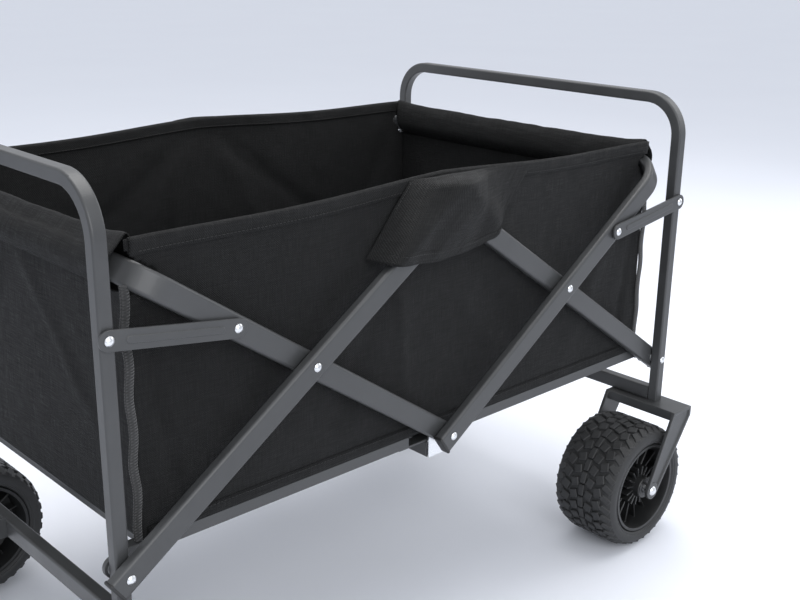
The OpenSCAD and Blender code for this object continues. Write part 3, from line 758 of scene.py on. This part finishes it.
@dataclass
class Tub:
    """The open fabric tub: walls, hems, bindings, rim sleeves, flaps and floor covers."""

    hem_z: float = 0.577
    hem_rise: float = 0.010
    hem_depth: float = 0.016
    cloth: float = 0.0011
    wall_y: float = 0.2415
    squeeze: float = 0.354

    def __post_init__(self) -> None:
        """Read the wall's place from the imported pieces."""
        low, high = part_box("side_wall_right")
        self.low_z = low.z
        self.end_x = high.x - MID_X
        self.end_face = self.end_x - 0.001
        self.flap_y = high.y

    def fold(self, piece: bpy.types.Object) -> bpy.types.Object:
        """Make a tub piece ride on the tub body, with a mesh of its own."""
        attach(piece, "tub")
        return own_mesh(piece)

    def wall_top(self, x: float) -> float:
        """Return the height of a side wall's hem at a distance from the middle plane."""
        share = min(1.0, abs(x) / self.end_x)
        slack = 0.004 * math.sin(math.pi * share) ** 2
        return self.hem_z + self.hem_rise * (1 - share) ** 1.15 - slack

    def wall_swell(self, x: float, z: float, side: Side) -> float:
        """Return how far a side wall stands proud of its plane, towards the outside.

        Args:
            x: distance from the middle plane.
            z: height.
            side: which wall.

        Returns:
            The distance in metres; it fades out at the hem, the foot and the corners.
        """
        rise = (z - self.low_z) / (self.wall_top(x) - self.low_z)
        edge = min(1.0, (self.end_x - abs(x)) / 0.03)
        calm = max(0.0, min(1.0, rise / 0.12, (1 - rise) / 0.1)) * (0.25 + 0.75 * max(0.0, edge))
        seed = 3.7 if side is Side.LEFT else 8.1
        swell = 0.0028 * ripple(x, z, seed, 7.0) + 0.0008 * ripple(x, z, seed + 5, 26.0)
        folds = 0.0
        for sign in (1, -1):
            folds += 0.0042 * crease(x, z, (sign * 0.01, 0.575), (sign * 0.30, 0.35), 0.014)
            folds -= 0.0030 * crease(x, z, (sign * 0.02, 0.575), (sign * 0.17, 0.30), 0.018)
            folds += 0.0032 * crease(x, z, (sign * 0.38, 0.545), (sign * 0.24, 0.31), 0.016)
            folds -= 0.0026 * crease(x, z, (sign * 0.39, 0.50), (sign * 0.35, 0.29), 0.010)
        folds += 0.0022 * crease(x, z, (0.03, 0.44), (0.12, 0.33), 0.012)
        folds += 0.0024 * crease(x, z, (-0.06, 0.47), (-0.05, 0.32), 0.009)
        inward = -0.0035 * math.sin(math.pi * max(0.0, min(1.0, rise)))
        return min(0.0034, calm * (swell + folds) + inward + 0.0012)

    def tube_clear(self, x: float, z: float, end: End) -> bool:
        """Return whether the rim tube leaves a spot of the side wall free."""
        spot = Vector((abs(x), 0.0, z)) - SCISSOR.cross
        cosine, sine = math.cos(SCISSOR.slope), math.sin(SCISSOR.slope)
        along, over = spot.x * cosine + spot.z * sine, spot.z * cosine - spot.x * sine
        start = 0.218 if end is End.REAR else 0.203
        return along < start or abs(over) > SCISSOR.bar_depth / 2 + 0.0025

    def side_wall(self, side: Side) -> None:
        """Hang one side wall with its hem, its foot band and their stitches."""
        name = side.name.lower()

        def spot(u: float, v: float) -> Vector:
            """Return a point of the wall."""
            x = (2 * u - 1) * self.end_face
            z = self.low_z + (self.wall_top(x) - self.low_z) * v
            return Vector((MID_X + x, side.value * (self.wall_y + self.wall_swell(x, z, side)), z))

        size = (2 * self.end_face, self.hem_z - self.low_z)
        mesh = mapped_grid(230, 84, size, spot)
        covered = []
        for face in mesh.faces:
            middle = face.calc_center_median()
            end = End.REAR if middle.x > MID_X else End.FRONT
            if not self.tube_clear(middle.x - MID_X, middle.z, end):
                covered.append(face)
        bmesh.ops.delete(mesh, geom=covered, context="FACES")
        wall = add_piece(mesh, f"cloth_side_wall_{name}", FINISHES.cloth, [f"side_wall_{name}"], 60)
        self.fold(thicken(wall, self.cloth))
        hem = self.hem_band(side)
        foot = self.foot_band(side)
        threads = self.wall_stitches(side)

    def hem_band(self, side: Side) -> bpy.types.Object:
        """Fold the hem over a side wall's top edge."""
        reach = self.end_face - 0.004
        # Outwards and upwards places of the band's edge, from outside bottom to inside bottom
        turn = (
            (0.0018, -1.0), (0.0022, -0.5), (0.0021, -0.08), (0.0, 0.07),
            (-0.0021, -0.08), (-0.0020, -0.5), (-0.0016, -0.9))

        def spot(u: float, v: float) -> Vector:
            """Return a point of the band."""
            x = (2 * u - 1) * reach
            top = self.wall_top(x)
            at = v * (len(turn) - 1)
            index = min(int(at), len(turn) - 2)
            share = at - index
            out = turn[index][0] * (1 - share) + turn[index + 1][0] * share
            up = turn[index][1] * (1 - share) + turn[index + 1][1] * share
            z = top + up * self.hem_depth
            swell = self.wall_swell(x, min(z, top), side) + 0.0004 * ripple(x, z, 2.0, 60.0)
            return Vector((MID_X + x, side.value * (self.wall_y + swell + out), z))

        mesh = mapped_grid(200, 18, (2 * reach, 2 * self.hem_depth), spot)
        band = add_piece(mesh, f"hem_{side.name.lower()}", FINISHES.cloth, (), 60)
        return self.fold(thicken(band, 0.0007))

    def foot_band(self, side: Side) -> bpy.types.Object:
        """Lay the sewn band along a side wall's foot."""
        reach = self.end_face - 0.006

        def spot(u: float, v: float) -> Vector:
            """Return a point of the band."""
            x = (2 * u - 1) * reach
            z = self.low_z - 0.0005 + 0.013 * v
            out = 0.0011 + 0.0003 * math.sin(math.pi * v) + self.wall_swell(x, z, side)
            return Vector((MID_X + x, side.value * (self.wall_y + min(out, 0.0036)), z))

        mesh = mapped_grid(160, 4, (2 * reach, 0.013), spot)
        band = add_piece(mesh, f"foot_band_{side.name.lower()}", FINISHES.cloth, (), 60)
        return self.fold(thicken(band, 0.0007))

    def wall_stitches(self, side: Side) -> bpy.types.Object:
        """Sew the hem and the foot band of a side wall."""
        mesh = bmesh.new()
        out = Vector((0, side.value, 0))
        steps = 120
        for level, gap in ((-0.0125, 0.0026), (None, 0.0019)):
            path = []
            for index in range(steps + 1):
                x = (2 * index / steps - 1) * (self.end_face - 0.012)
                z = self.low_z + 0.0098 if level is None else self.wall_top(x) + level
                y = self.wall_y + self.wall_swell(x, z, side) + gap
                path.append(Vector((MID_X + x, side.value * y, z)))
            add_stitches(mesh, path, out)
        inner = []
        for index in range(steps + 1):
            x = (2 * index / steps - 1) * (self.end_face - 0.012)
            z = self.wall_top(x) - 0.0125
            depth = self.wall_y + self.wall_swell(x, z, side) - 0.0024
            inner.append(Vector((MID_X + x, side.value * depth, z)))
        add_stitches(mesh, inner, -out)
        threads = add_piece(mesh, f"wall_stitches_{side.name.lower()}", FINISHES.thread, (), 50)
        return self.fold(threads)

    def end_wall(self, end: End) -> None:
        """Hang one end wall between the corners, under the rim sleeve."""
        name = end.name.lower()
        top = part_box(f"{name}_end_wall")[1].z
        half = self.wall_y - 0.0015

        def spot(u: float, v: float) -> Vector:
            """Return a point of the wall."""
            y = (2 * u - 1) * half
            z = self.low_z + (top + 0.004 - self.low_z) * v
            calm = min(1.0, v / 0.1, (half - abs(y)) / 0.03)
            folds = 0.003 * crease(y, z, (0.0, 0.53), (0.16, 0.33), 0.014)
            folds += 0.003 * crease(y, z, (-0.02, 0.53), (-0.18, 0.36), 0.012)
            folds -= 0.002 * crease(y, z, (0.2, 0.5), (0.1, 0.3), 0.012)
            swell = calm * (0.0022 * ripple(y, z, 4.0 + end.value, 8.0) + folds)
            return at_end(Vector((self.end_face + max(-0.004, min(0.004, swell)), y, z)), end)

        mesh = mapped_grid(120, 70, (2 * half, top - self.low_z), spot)
        wall = add_piece(mesh, f"cloth_{name}_end_wall", FINISHES.cloth, [f"{name}_end_wall"], 60)
        self.fold(thicken(wall, self.cloth))

    def corner_tapes(self) -> None:
        """Bind the four upright corner seams with woven tape."""
        for end in End:
            for side in Side:
                tape = self.corner_tape(end, side)
                name = f"corner_tape_{end.name.lower()}_{side.name.lower()}"
                piece = add_piece(tape, name, FINISHES.tape, (), 60)
                self.fold(piece)

    def corner_tape(self, end: End, side: Side) -> bmesh.types.BMesh:
        """Return the tape of one corner as a flat closed fold."""
        top = 0.534

        def spot(u: float, v: float) -> Vector:
            """Return a point around the fold, at a height."""
            z = self.low_z + 0.001 + (top - self.low_z) * v
            angle = 2 * math.pi * u
            rough = noise.noise(Vector((z * 40, side.value, end.value)))
            wave = 0.0012 * math.sin(z * 95 + end.value) + 0.0008 * rough
            out = 0.0048 * math.copysign(abs(math.cos(angle)) ** 0.7, math.cos(angle)) + 0.0032 + wave
            thick = 0.0013 * math.copysign(abs(math.sin(angle)) ** 0.7, math.sin(angle))
            return at_end(Vector((self.end_face + out, side.value * (self.wall_y + 0.0005 + thick), z)), end)

        mesh = mapped_grid(16, 90, (0.0105, 0.256), spot, closed=True)
        bmesh.ops.holes_fill(mesh, edges=[edge for edge in mesh.edges if edge.is_boundary], sides=40)
        bmesh.ops.recalc_face_normals(mesh, faces=mesh.faces)
        return mesh

    def rim_sleeve(self, end: End) -> None:
        """Sew the pocket of cloth around one rim tube, with its hemmed mouths."""
        name = end.name.lower()
        reach = self.wall_y - 0.0035 if end is End.REAR else self.wall_y - 0.010
        # X and Z around the tube, from the end wall inside, over the ridge and back under it
        ring = (
            (0.3975, 0.5265), (0.3905, 0.5330), (0.3850, 0.5420), (0.3838, 0.5520), (0.3850, 0.5620),
            (0.3872, 0.5705), (0.3915, 0.5765), (0.3962, 0.5735), (0.4015, 0.5670), (0.4080, 0.5600),
            (0.4128, 0.5520), (0.4142, 0.5440), (0.4105, 0.5350), (0.4045, 0.5285), (0.3985, 0.5262))
        seed = 1.0 + end.value

        def spot(u: float, v: float) -> Vector:
            """Return a point around the ring and along the tube."""
            at = u * (len(ring) - 1)
            index = min(int(at), len(ring) - 2)
            share = at - index
            before, after = ring[max(index - 1, 0)], ring[min(index + 2, len(ring) - 1)]
            here, there = ring[index], ring[index + 1]
            x = spline(before[0], here[0], there[0], after[0], share)
            z = spline(before[1], here[1], there[1], after[1], share)
            y = (2 * v - 1) * reach
            mouth = step_up(abs(y), reach - 0.03, reach)
            pull = 0.0022 * ripple(y, u * 0.4, seed, 11.0) * math.sin(math.pi * u)
            scallop = 0.0010 * math.sin(y * 60 + 3 * u) * math.sin(math.pi * u)
            centre = Vector((0.3992, 0.0, 0.5475))
            away = Vector((x, 0.0, z)) - centre
            grow = 1.0 + 0.10 * mouth * math.sin(math.pi * u)
            point = centre + away * grow + away.normalized() * (abs(pull) + scallop * 0.5)
            sag = -0.0022 * math.cos(math.pi * y / (2 * reach)) if 0.3 < u < 0.6 else 0.0
            side_in = 0.004 * mouth * math.cos(2 * math.pi * u) * (1 if y < 0 else -1)
            return at_end(Vector((point.x, y + side_in, point.z + sag)), end)

        mesh = mapped_grid(42, 150, (0.118, 2 * reach), spot)
        sleeve = add_piece(mesh, f"cloth_{name}_rim_sleeve", FINISHES.cloth, [f"{name}_rim_sleeve"], 60)
        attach(thicken(sleeve, self.cloth), f"{name}_u")

    def flap_rise(self, x: float, z: float) -> float:
        """Return how far the middle flap stands off the wall to clear the two bars' ends.

        Args:
            x: distance from the middle plane, towards the rear.
            z: height.

        Returns:
            The distance in metres.
        """
        cosine, sine = math.cos(SCISSOR.slope), math.sin(SCISSOR.slope)
        spot = Vector((x, z - SCISSOR.top_pivot))
        rise = 0.0
        # Way along the bar to its end, height to clear, slope above the bar and below it
        bars = (((cosine, sine), 0.0372, 0.55, 0.40), ((-cosine, sine), 0.0212, 0.30, 0.45))
        for way, height, above, below in bars:
            along = spot.x * way[0] + spot.y * way[1]
            over = spot.y * cosine - spot.x * way[1] * (1 if way[0] > 0 else -1)
            beyond = max(0.0, along - SCISSOR.bar_end)
            off = over - SCISSOR.bar_depth / 2
            under = -over - SCISSOR.bar_depth / 2
            drop = 0.6 * beyond + above * max(0.0, off) + below * max(0.0, under)
            rise = max(rise, height - drop)
        return rise

    def flap(self, side: Side) -> None:
        """Sew the flap that hides the top middle pivot of one side."""
        # Corners measured from the middle plane: top, foot and the place where the foot turns
        top_front, top_rear = -0.052, 0.150
        foot = ((-0.118, 0.5075), (-0.088, 0.5035), (-0.030, 0.4965), (0.030, 0.4945), (0.090, 0.5065))

        def flat_spot(u: float, v: float) -> tuple[float, float]:
            """Return X and Z of a point of the flap."""
            top_x = top_front + (top_rear - top_front) * u
            top_z = self.wall_top(top_x) - 0.0012
            at = u * (len(foot) - 1)
            index = min(int(at), len(foot) - 2)
            share = at - index
            foot_x = foot[index][0] * (1 - share) + foot[index + 1][0] * share
            foot_z = foot[index][1] * (1 - share) + foot[index + 1][1] * share
            return top_x + (foot_x - top_x) * v, top_z + (foot_z - top_z) * v

        heights: dict[tuple[int, int], float] = {}
        columns, rows = 90, 60
        for i in range(columns + 1):
            for j in range(rows + 1):
                u, v = i / columns, j / rows
                x, z = flat_spot(u, v)
                rise = self.flap_rise(x, z)
                left = step_up(u, 0.0, 0.16)
                right = step_up(1 - u, 0.0, 0.10 + 0.5 * (1 - v))
                upper = step_up(v, 0.0, 0.11)
                heights[i, j] = rise * left * right * upper
        reach = [(a, b) for a in (-2, 0, 2) for b in (-2, 0, 2)]
        heights = {
            (i, j): max(heights[max(0, min(columns, i + a)), max(0, min(rows, j + b))] for a, b in reach)
            for i, j in heights}
        for _ in range(6):
            heights = {
                (i, j): sum(
                    heights[max(0, min(columns, i + a)), max(0, min(rows, j + b))]
                    for a, b in ((0, 0), (1, 0), (-1, 0), (0, 1), (0, -1))) / 5
                for i, j in heights}

        def spot(u: float, v: float) -> Vector:
            """Return a point of the flap."""
            x, z = flat_spot(u, v)
            rise = heights[min(columns, round(u * columns)), min(rows, round(v * rows))]
            wave = 0.0009 * ripple(x, z, 6.0, 22.0) * min(1.0, 6 * v)
            base = self.wall_y + self.wall_swell(x, z, side) + 0.0016
            return Vector((MID_X + x, side.value * (base + rise + wave), z))

        mesh = mapped_grid(columns, rows, (0.19, 0.075), spot)
        flap = add_piece(mesh, f"middle_flap_{side.name.lower()}", FINISHES.cloth, (), 60)
        self.fold(thicken(flap, self.cloth, 1.0 if side is Side.RIGHT else -1.0))
        threads = bmesh.new()
        out = Vector((0, side.value, 0))
        lift = out * 0.0011
        for u in (0.012, 0.035):
            add_stitches(threads, [spot(u, k / 40) + lift for k in range(1, 41)], out)
        add_stitches(threads, [spot(k / 60, 0.90) + lift for k in range(2, 60)], out)
        sewn = add_piece(threads, f"flap_stitches_{side.name.lower()}", FINISHES.thread, (), 50)
        self.fold(sewn)
        edge = self.flap_edges(side, spot)

    def flap_edges(self, side: Side, spot: Callable[[float, float], Vector]) -> bpy.types.Object:
        """Turn the flap's left seam and foot hem up into a thicker band."""
        out = Vector((0, side.value * 0.0009, 0))

        def seam(u: float, v: float) -> Vector:
            """Return a point of the band along the slanted seam."""
            return spot(0.055 * u, 0.02 + 0.98 * v) + out * (1 + 0.5 * math.sin(math.pi * u))

        def hem(u: float, v: float) -> Vector:
            """Return a point of the band along the foot."""
            return spot(0.02 + 0.96 * u, 0.86 + 0.15 * min(v, 0.99)) + out * (1 + 0.4 * math.sin(math.pi * v))

        def clamped(place: Callable[[float, float], Vector]) -> Callable[[float, float], Vector]:
            """Keep a place's second number inside the flap."""
            return lambda u, v: place(u, min(v, 1.0))

        mesh = mapped_grid(5, 60, (0.01, 0.1), clamped(seam))
        second = mapped_grid(90, 6, (0.19, 0.01), clamped(hem))
        data = bpy.data.meshes.new("flap_hem")
        second.to_mesh(data)
        second.free()
        mesh.from_mesh(data)
        band = add_piece(mesh, f"flap_bands_{side.name.lower()}", FINISHES.cloth, (), 60)
        return self.fold(thicken(band, 0.0006))

    def floor_cover(self, end: End) -> None:
        """Cover one floor board with padded cloth, sewn along its border and its middle."""
        name = end.name.lower()
        low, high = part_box(f"{name}_floor_board")
        size = high - low
        middle = (low + high) / 2
        mesh = bmesh.new()
        bmesh.ops.create_cube(mesh, size=1.0)
        bmesh.ops.scale(mesh, vec=size - Vector((0.001, 0.001, 0.0014)), verts=mesh.verts)
        upright = [edge for edge in mesh.edges if abs(edge.verts[0].co.z - edge.verts[1].co.z) > 1e-4]
        bmesh.ops.bevel(
            mesh, geom=upright, offset=0.012, affect="EDGES", segments=5, profile=0.5, material=-1)
        rest = [edge for edge in mesh.edges if abs(edge.verts[0].co.z - edge.verts[1].co.z) < 1e-6]
        bmesh.ops.bevel(mesh, geom=rest, offset=0.0022, affect="EDGES", segments=2, profile=0.5, material=-1)
        for axis, span, count in ((Vector((1, 0, 0)), size.x, 46), (Vector((0, 1, 0)), size.y, 62)):
            for index in range(1, count):
                at = axis * (index / count - 0.5) * span
                geometry = mesh.verts[:] + mesh.edges[:] + mesh.faces[:]
                bmesh.ops.bisect_plane(mesh, geom=geometry, plane_co=at, plane_no=axis)
        layer = mesh.loops.layers.uv.new("Cloth")
        for face in mesh.faces:
            for loop in face.loops:
                loop[layer].uv = (loop.vert.co.x + loop.vert.co.z, loop.vert.co.y)
        for vert in mesh.verts:
            x, y = vert.co.x, vert.co.y
            edge = min(size.x / 2 - abs(x), size.y / 2 - abs(y))
            seams = min(abs(edge - 0.012), abs(y) if edge > 0.012 else 1.0)
            dip = -0.0016 * math.exp(-((seams / 0.004) ** 2))
            puff = 0.0012 * ripple(x + end.value, y, 3.0, 12.0)
            vert.co.z += (dip + max(-0.0006, puff) * min(1.0, edge / 0.02)) * (1 if vert.co.z > 0 else -0.4)
            vert.co += middle
        bmesh.ops.triangulate(mesh, faces=[face for face in mesh.faces if len(face.verts) > 4])
        cover = add_piece(mesh, f"cloth_{name}_floor_board", FINISHES.lining, [f"{name}_floor_board"], 50)
        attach(cover, f"{name}_floor")
        threads = bmesh.new()
        inset = 0.012
        half_x, half_y = size.x / 2 - inset, size.y / 2 - inset
        corners = [
            (-half_x, -half_y), (half_x, -half_y), (half_x, half_y), (-half_x, half_y), (-half_x, -half_y)]
        height = high.z - 0.0018
        path = [Vector((middle.x + x, middle.y + y, height)) for x, y in corners]
        add_stitches(threads, path, Vector((0, 0, 1)), 0.006)
        line = [Vector((middle.x - half_x, 0, height)), Vector((middle.x + half_x, 0, height))]
        add_stitches(threads, line, Vector((0, 0, 1)), 0.006)
        sewn = add_piece(threads, f"floor_stitches_{name}", FINISHES.thread, (), 50)
        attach(sewn, f"{name}_floor")

    def centre_strip(self) -> None:
        """Lay the slack strip of cloth between the two floor boards."""
        low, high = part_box("floor_centre_strip")

        def spot(u: float, v: float) -> Vector:
            """Return a point of the strip."""
            x = low.x + (high.x - low.x) * u
            y = low.y + (high.y - low.y) * v
            sag = -0.0035 * math.sin(math.pi * u) + 0.0008 * ripple(x, y, 9.0, 20.0)
            return Vector((x, y, high.z - 0.0008 + sag))

        mesh = mapped_grid(24, 90, (high.x - low.x, high.y - low.y), spot)
        strip = add_piece(mesh, "cloth_floor_strip", FINISHES.lining, ["floor_centre_strip"], 60)
        self.fold(thicken(strip, self.cloth))

    def build(self) -> None:
        """Make the whole tub."""
        for side in Side:
            self.side_wall(side)
            self.flap(side)
        for end in End:
            self.end_wall(end)
            self.rim_sleeve(end)
            self.floor_cover(end)
        self.corner_tapes()
        self.centre_strip()


def spline(a: float, b: float, c: float, d: float, share: float) -> float:
    """Return a value on the smooth curve through b and c."""
    return 0.5 * (
        2 * b + (c - a) * share + (2 * a - 5 * b + 4 * c - d) * share**2 + (3 * b - a - 3 * c + d) * share**3)


# ---------------------------------------------------------------- hard parts


@dataclass
class HardParts:
    """The steel and plastic parts: CAD shapes with finishes, rounded copies and end caps."""

    def dress(self) -> None:
        """Give every CAD node its finish."""
        by_slot = {
            "frame_steel": FINISHES.frame_coat, "zinc_steel": FINISHES.zinc, "tyre_rubber": FINISHES.rubber,
            "inner_tube_aluminium": FINISHES.slider,
            "rim_plastic": FINISHES.rim, "tub_fabric": FINISHES.lining,
            "grip_plastic": FINISHES.grip, "button_plastic": FINISHES.button}
        for part in frame["record"]["subparts"]:
            node = frame["nodes"][part["node"]]
            node.data.materials.clear()
            node.data.materials.append(by_slot[part["material_slot"]])

    def rounded_copy(
        self, node: str, body: str, material: bpy.types.Material, width: float
    ) -> bpy.types.Object:
        """Replace a CAD node by a merged copy with rounded edges.

        Args:
            node: the CAD node.
            body: the body that it rides on.
            material: its finish.
            width: the radius of its edges.

        Returns:
            The copy.
        """
        mesh = bmesh.new()
        mesh.from_mesh(frame["nodes"][node].data)
        bmesh.ops.remove_doubles(mesh, verts=mesh.verts, dist=2e-5)
        bmesh.ops.dissolve_limit(mesh, angle_limit=math.radians(2), verts=mesh.verts, edges=mesh.edges)
        piece = add_piece(mesh, f"rounded_{node}", material, [node], 32)
        round_edges(piece, width)
        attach(piece, body)
        return piece

    def build(self) -> None:
        """Dress the nodes and add the rounded copies and the caps."""
        self.dress()
        for side in Side:
            name = side.name.lower()
            self.rounded_copy(f"rear_fork_{name}", "rear_frame", FINISHES.frame_coat, 0.0012)
            self.rounded_copy(f"caster_fork_{name}", f"caster_{name}", FINISHES.frame_coat, 0.0012)
            for end in End:
                link = f"{end.name.lower()}_link_{name}"
                self.rounded_copy(link, f"{end.name.lower()}_links", FINISHES.frame_coat, 0.0005)
        self.caps()

    def caps(self) -> None:
        """Close the open ends of the scissor bars with black plastic caps."""
        outer, inner = SCISSOR.outer_layer, SCISSOR.inner_layer
        for end in End:
            name = end.name.lower()
            u_layer, brace_layer = (outer, inner) if end is End.REAR else (inner, outer)
            foot = -(SCISSOR.inner_arm + SCISSOR.bar_end)
            self.cap_row(f"u_tube_caps_{name}", f"{name}_u", end, SCISSOR.slope, u_layer, (foot,))
            far = SCISSOR.foot_arm + SCISSOR.bar_end
            self.cap_row(
                f"brace_caps_{name}", f"{name}_braces", end, -SCISSOR.slope, brace_layer, (foot, far))

    def cap_row(
        self, name: str, body: str, end: End, slope: float, layer: float, places: Iterable[float]
    ) -> None:
        """Make the caps of one pair of bars as one piece."""
        mesh = bmesh.new()
        cap = box_shape((0.0042, SCISSOR.bar_thickness + 0.0004, SCISSOR.bar_depth + 0.0004), 0.0019, 3)
        turn = Matrix.Translation(SCISSOR.cross) @ Matrix.Rotation(-slope, 4, "Y")
        for side in Side:
            for place in places:
                middle = Vector((place + math.copysign(0.0012, place), side.value * layer, 0.0))
                stamp(mesh, cap, turn @ Matrix.Translation(middle))
        for vert in mesh.verts:
            vert.co = at_end(vert.co, end)
        bmesh.ops.recalc_face_normals(mesh, faces=mesh.faces)
        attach(add_piece(mesh, name, FINISHES.cap), body)


@dataclass
class Handle:
    """The pull handle's smooth grip."""

    def build(self) -> None:
        """Make the grip in one smooth moulding."""
        mesh = bmesh.new()
        mesh.from_mesh(frame["nodes"]["handle_grip"].data)
        bmesh.ops.remove_doubles(mesh, verts=mesh.verts, dist=2e-5)
        grip = add_piece(mesh, "moulded_grip", FINISHES.grip, ["handle_grip"], 40)
        remesh = grip.modifiers.new("One moulding", "REMESH")
        remesh.mode = "VOXEL"
        remesh.voxel_size = 0.0014
        remesh.use_smooth_shade = True
        smooth = grip.modifiers.new("Blended joins", "SMOOTH")
        smooth.factor = 0.6
        smooth.iterations = 6
        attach(grip, "handle_slider")


# ---------------------------------------------------------------- stage


@dataclass
class Stage:
    """The pale floor, the soft studio light and the camera."""

    yaw: float = math.radians(46.39)
    pitch: float = math.radians(18.02)
    roll: float = math.radians(0.87)
    lens: float = 49.83

    def camera(self) -> None:
        """Put the camera at the front left, looking down over the near wall."""
        ahead = Vector((
            math.cos(self.yaw) * math.cos(self.pitch), math.sin(self.yaw) * math.cos(self.pitch),
            -math.sin(self.pitch)))
        level = Vector((math.sin(self.yaw), -math.cos(self.yaw), 0.0))
        up = level.cross(ahead)
        right = level * math.cos(self.roll) + up * math.sin(self.roll)
        up = right.cross(ahead)
        place = Matrix((right, up, -ahead)).transposed().to_4x4()
        place.translation = Vector((-0.8545, -1.0919, 0.8311))
        data = bpy.data.cameras.new("Camera")
        data.lens = self.lens
        data.sensor_width = 36.0
        data.clip_end = 100.0
        camera = bpy.data.objects.new("Camera", data)
        camera.matrix_world = place
        bpy.context.scene.collection.objects.link(camera)
        bpy.context.scene.camera = camera

    def floor(self) -> None:
        """Lay the floor."""
        mesh = bmesh.new()
        bmesh.ops.create_grid(mesh, x_segments=4, y_segments=4, size=30.0)
        data = bpy.data.meshes.new("Floor")
        mesh.to_mesh(data)
        mesh.free()
        material, graph, shader = start_material("Pale studio floor")
        place = graph.add("TexCoord").outputs["Object"]
        tone = graph.noise(place, 1.4, 3.0)
        graph.tree.links.new(
            graph.blend(tone, (0.76, 0.78, 0.84, 1.0), (0.80, 0.82, 0.87, 1.0)), shader.inputs["Base Color"])
        graph.tree.links.new(graph.span(tone, 0.3, 0.7, 0.62, 0.72), shader.inputs["Roughness"])
        data.materials.append(material)
        floor = bpy.data.objects.new("Floor", data)
        bpy.context.scene.collection.objects.link(floor)

    def lamp(self, name: str, place: tuple, target: tuple, size: float, power: float, colour: tuple) -> None:
        """Hang one square soft light, facing a point."""
        data = bpy.data.lights.new(name, "AREA")
        data.shape = "SQUARE"
        data.size = size
        data.energy = power
        data.color = colour
        lamp = bpy.data.objects.new(name, data)
        way = Vector(target) - Vector(place)
        lamp.matrix_world = Matrix.Translation(place) @ way.to_track_quat("-Z", "Y").to_matrix().to_4x4()
        bpy.context.scene.collection.objects.link(lamp)

    def lights(self) -> None:
        """Light the set softly from above, the near side and behind."""
        self.lamp("Overhead softbox", (0.2, 0.3, 2.6), (0.0, 0.0, 0.3), 2.2, 55.0, (1.0, 0.99, 0.98))
        self.lamp("Near side softbox", (-0.9, -2.6, 1.7), (0.0, 0.0, 0.4), 1.8, 42.0, (0.98, 0.99, 1.0))
        self.lamp("Rear softbox", (2.6, -0.6, 1.5), (0.2, 0.0, 0.4), 1.6, 16.0, (0.98, 0.99, 1.0))
        world = bpy.data.worlds.new("Studio")
        world.use_nodes = True
        sky = world.node_tree.nodes["Background"]
        sky.inputs["Color"].default_value = (0.86, 0.89, 0.95, 1.0)
        sky.inputs["Strength"].default_value = 0.95
        bpy.context.scene.world = world
        bpy.context.scene.view_settings.view_transform = "Standard"

    def build(self) -> None:
        """Set the stage."""
        self.camera()
        self.floor()
        self.lights()


def main() -> None:
    """Build the wagon in order, from the stage to the soft parts."""
    logging.basicConfig(level=logging.INFO, format="%(name)s %(message)s")
    Stage().build()
    HardParts().build()
    Handle().build()
    Wheel().fit_all()
    Tub().build()


if __name__ == "__main__":
    main()
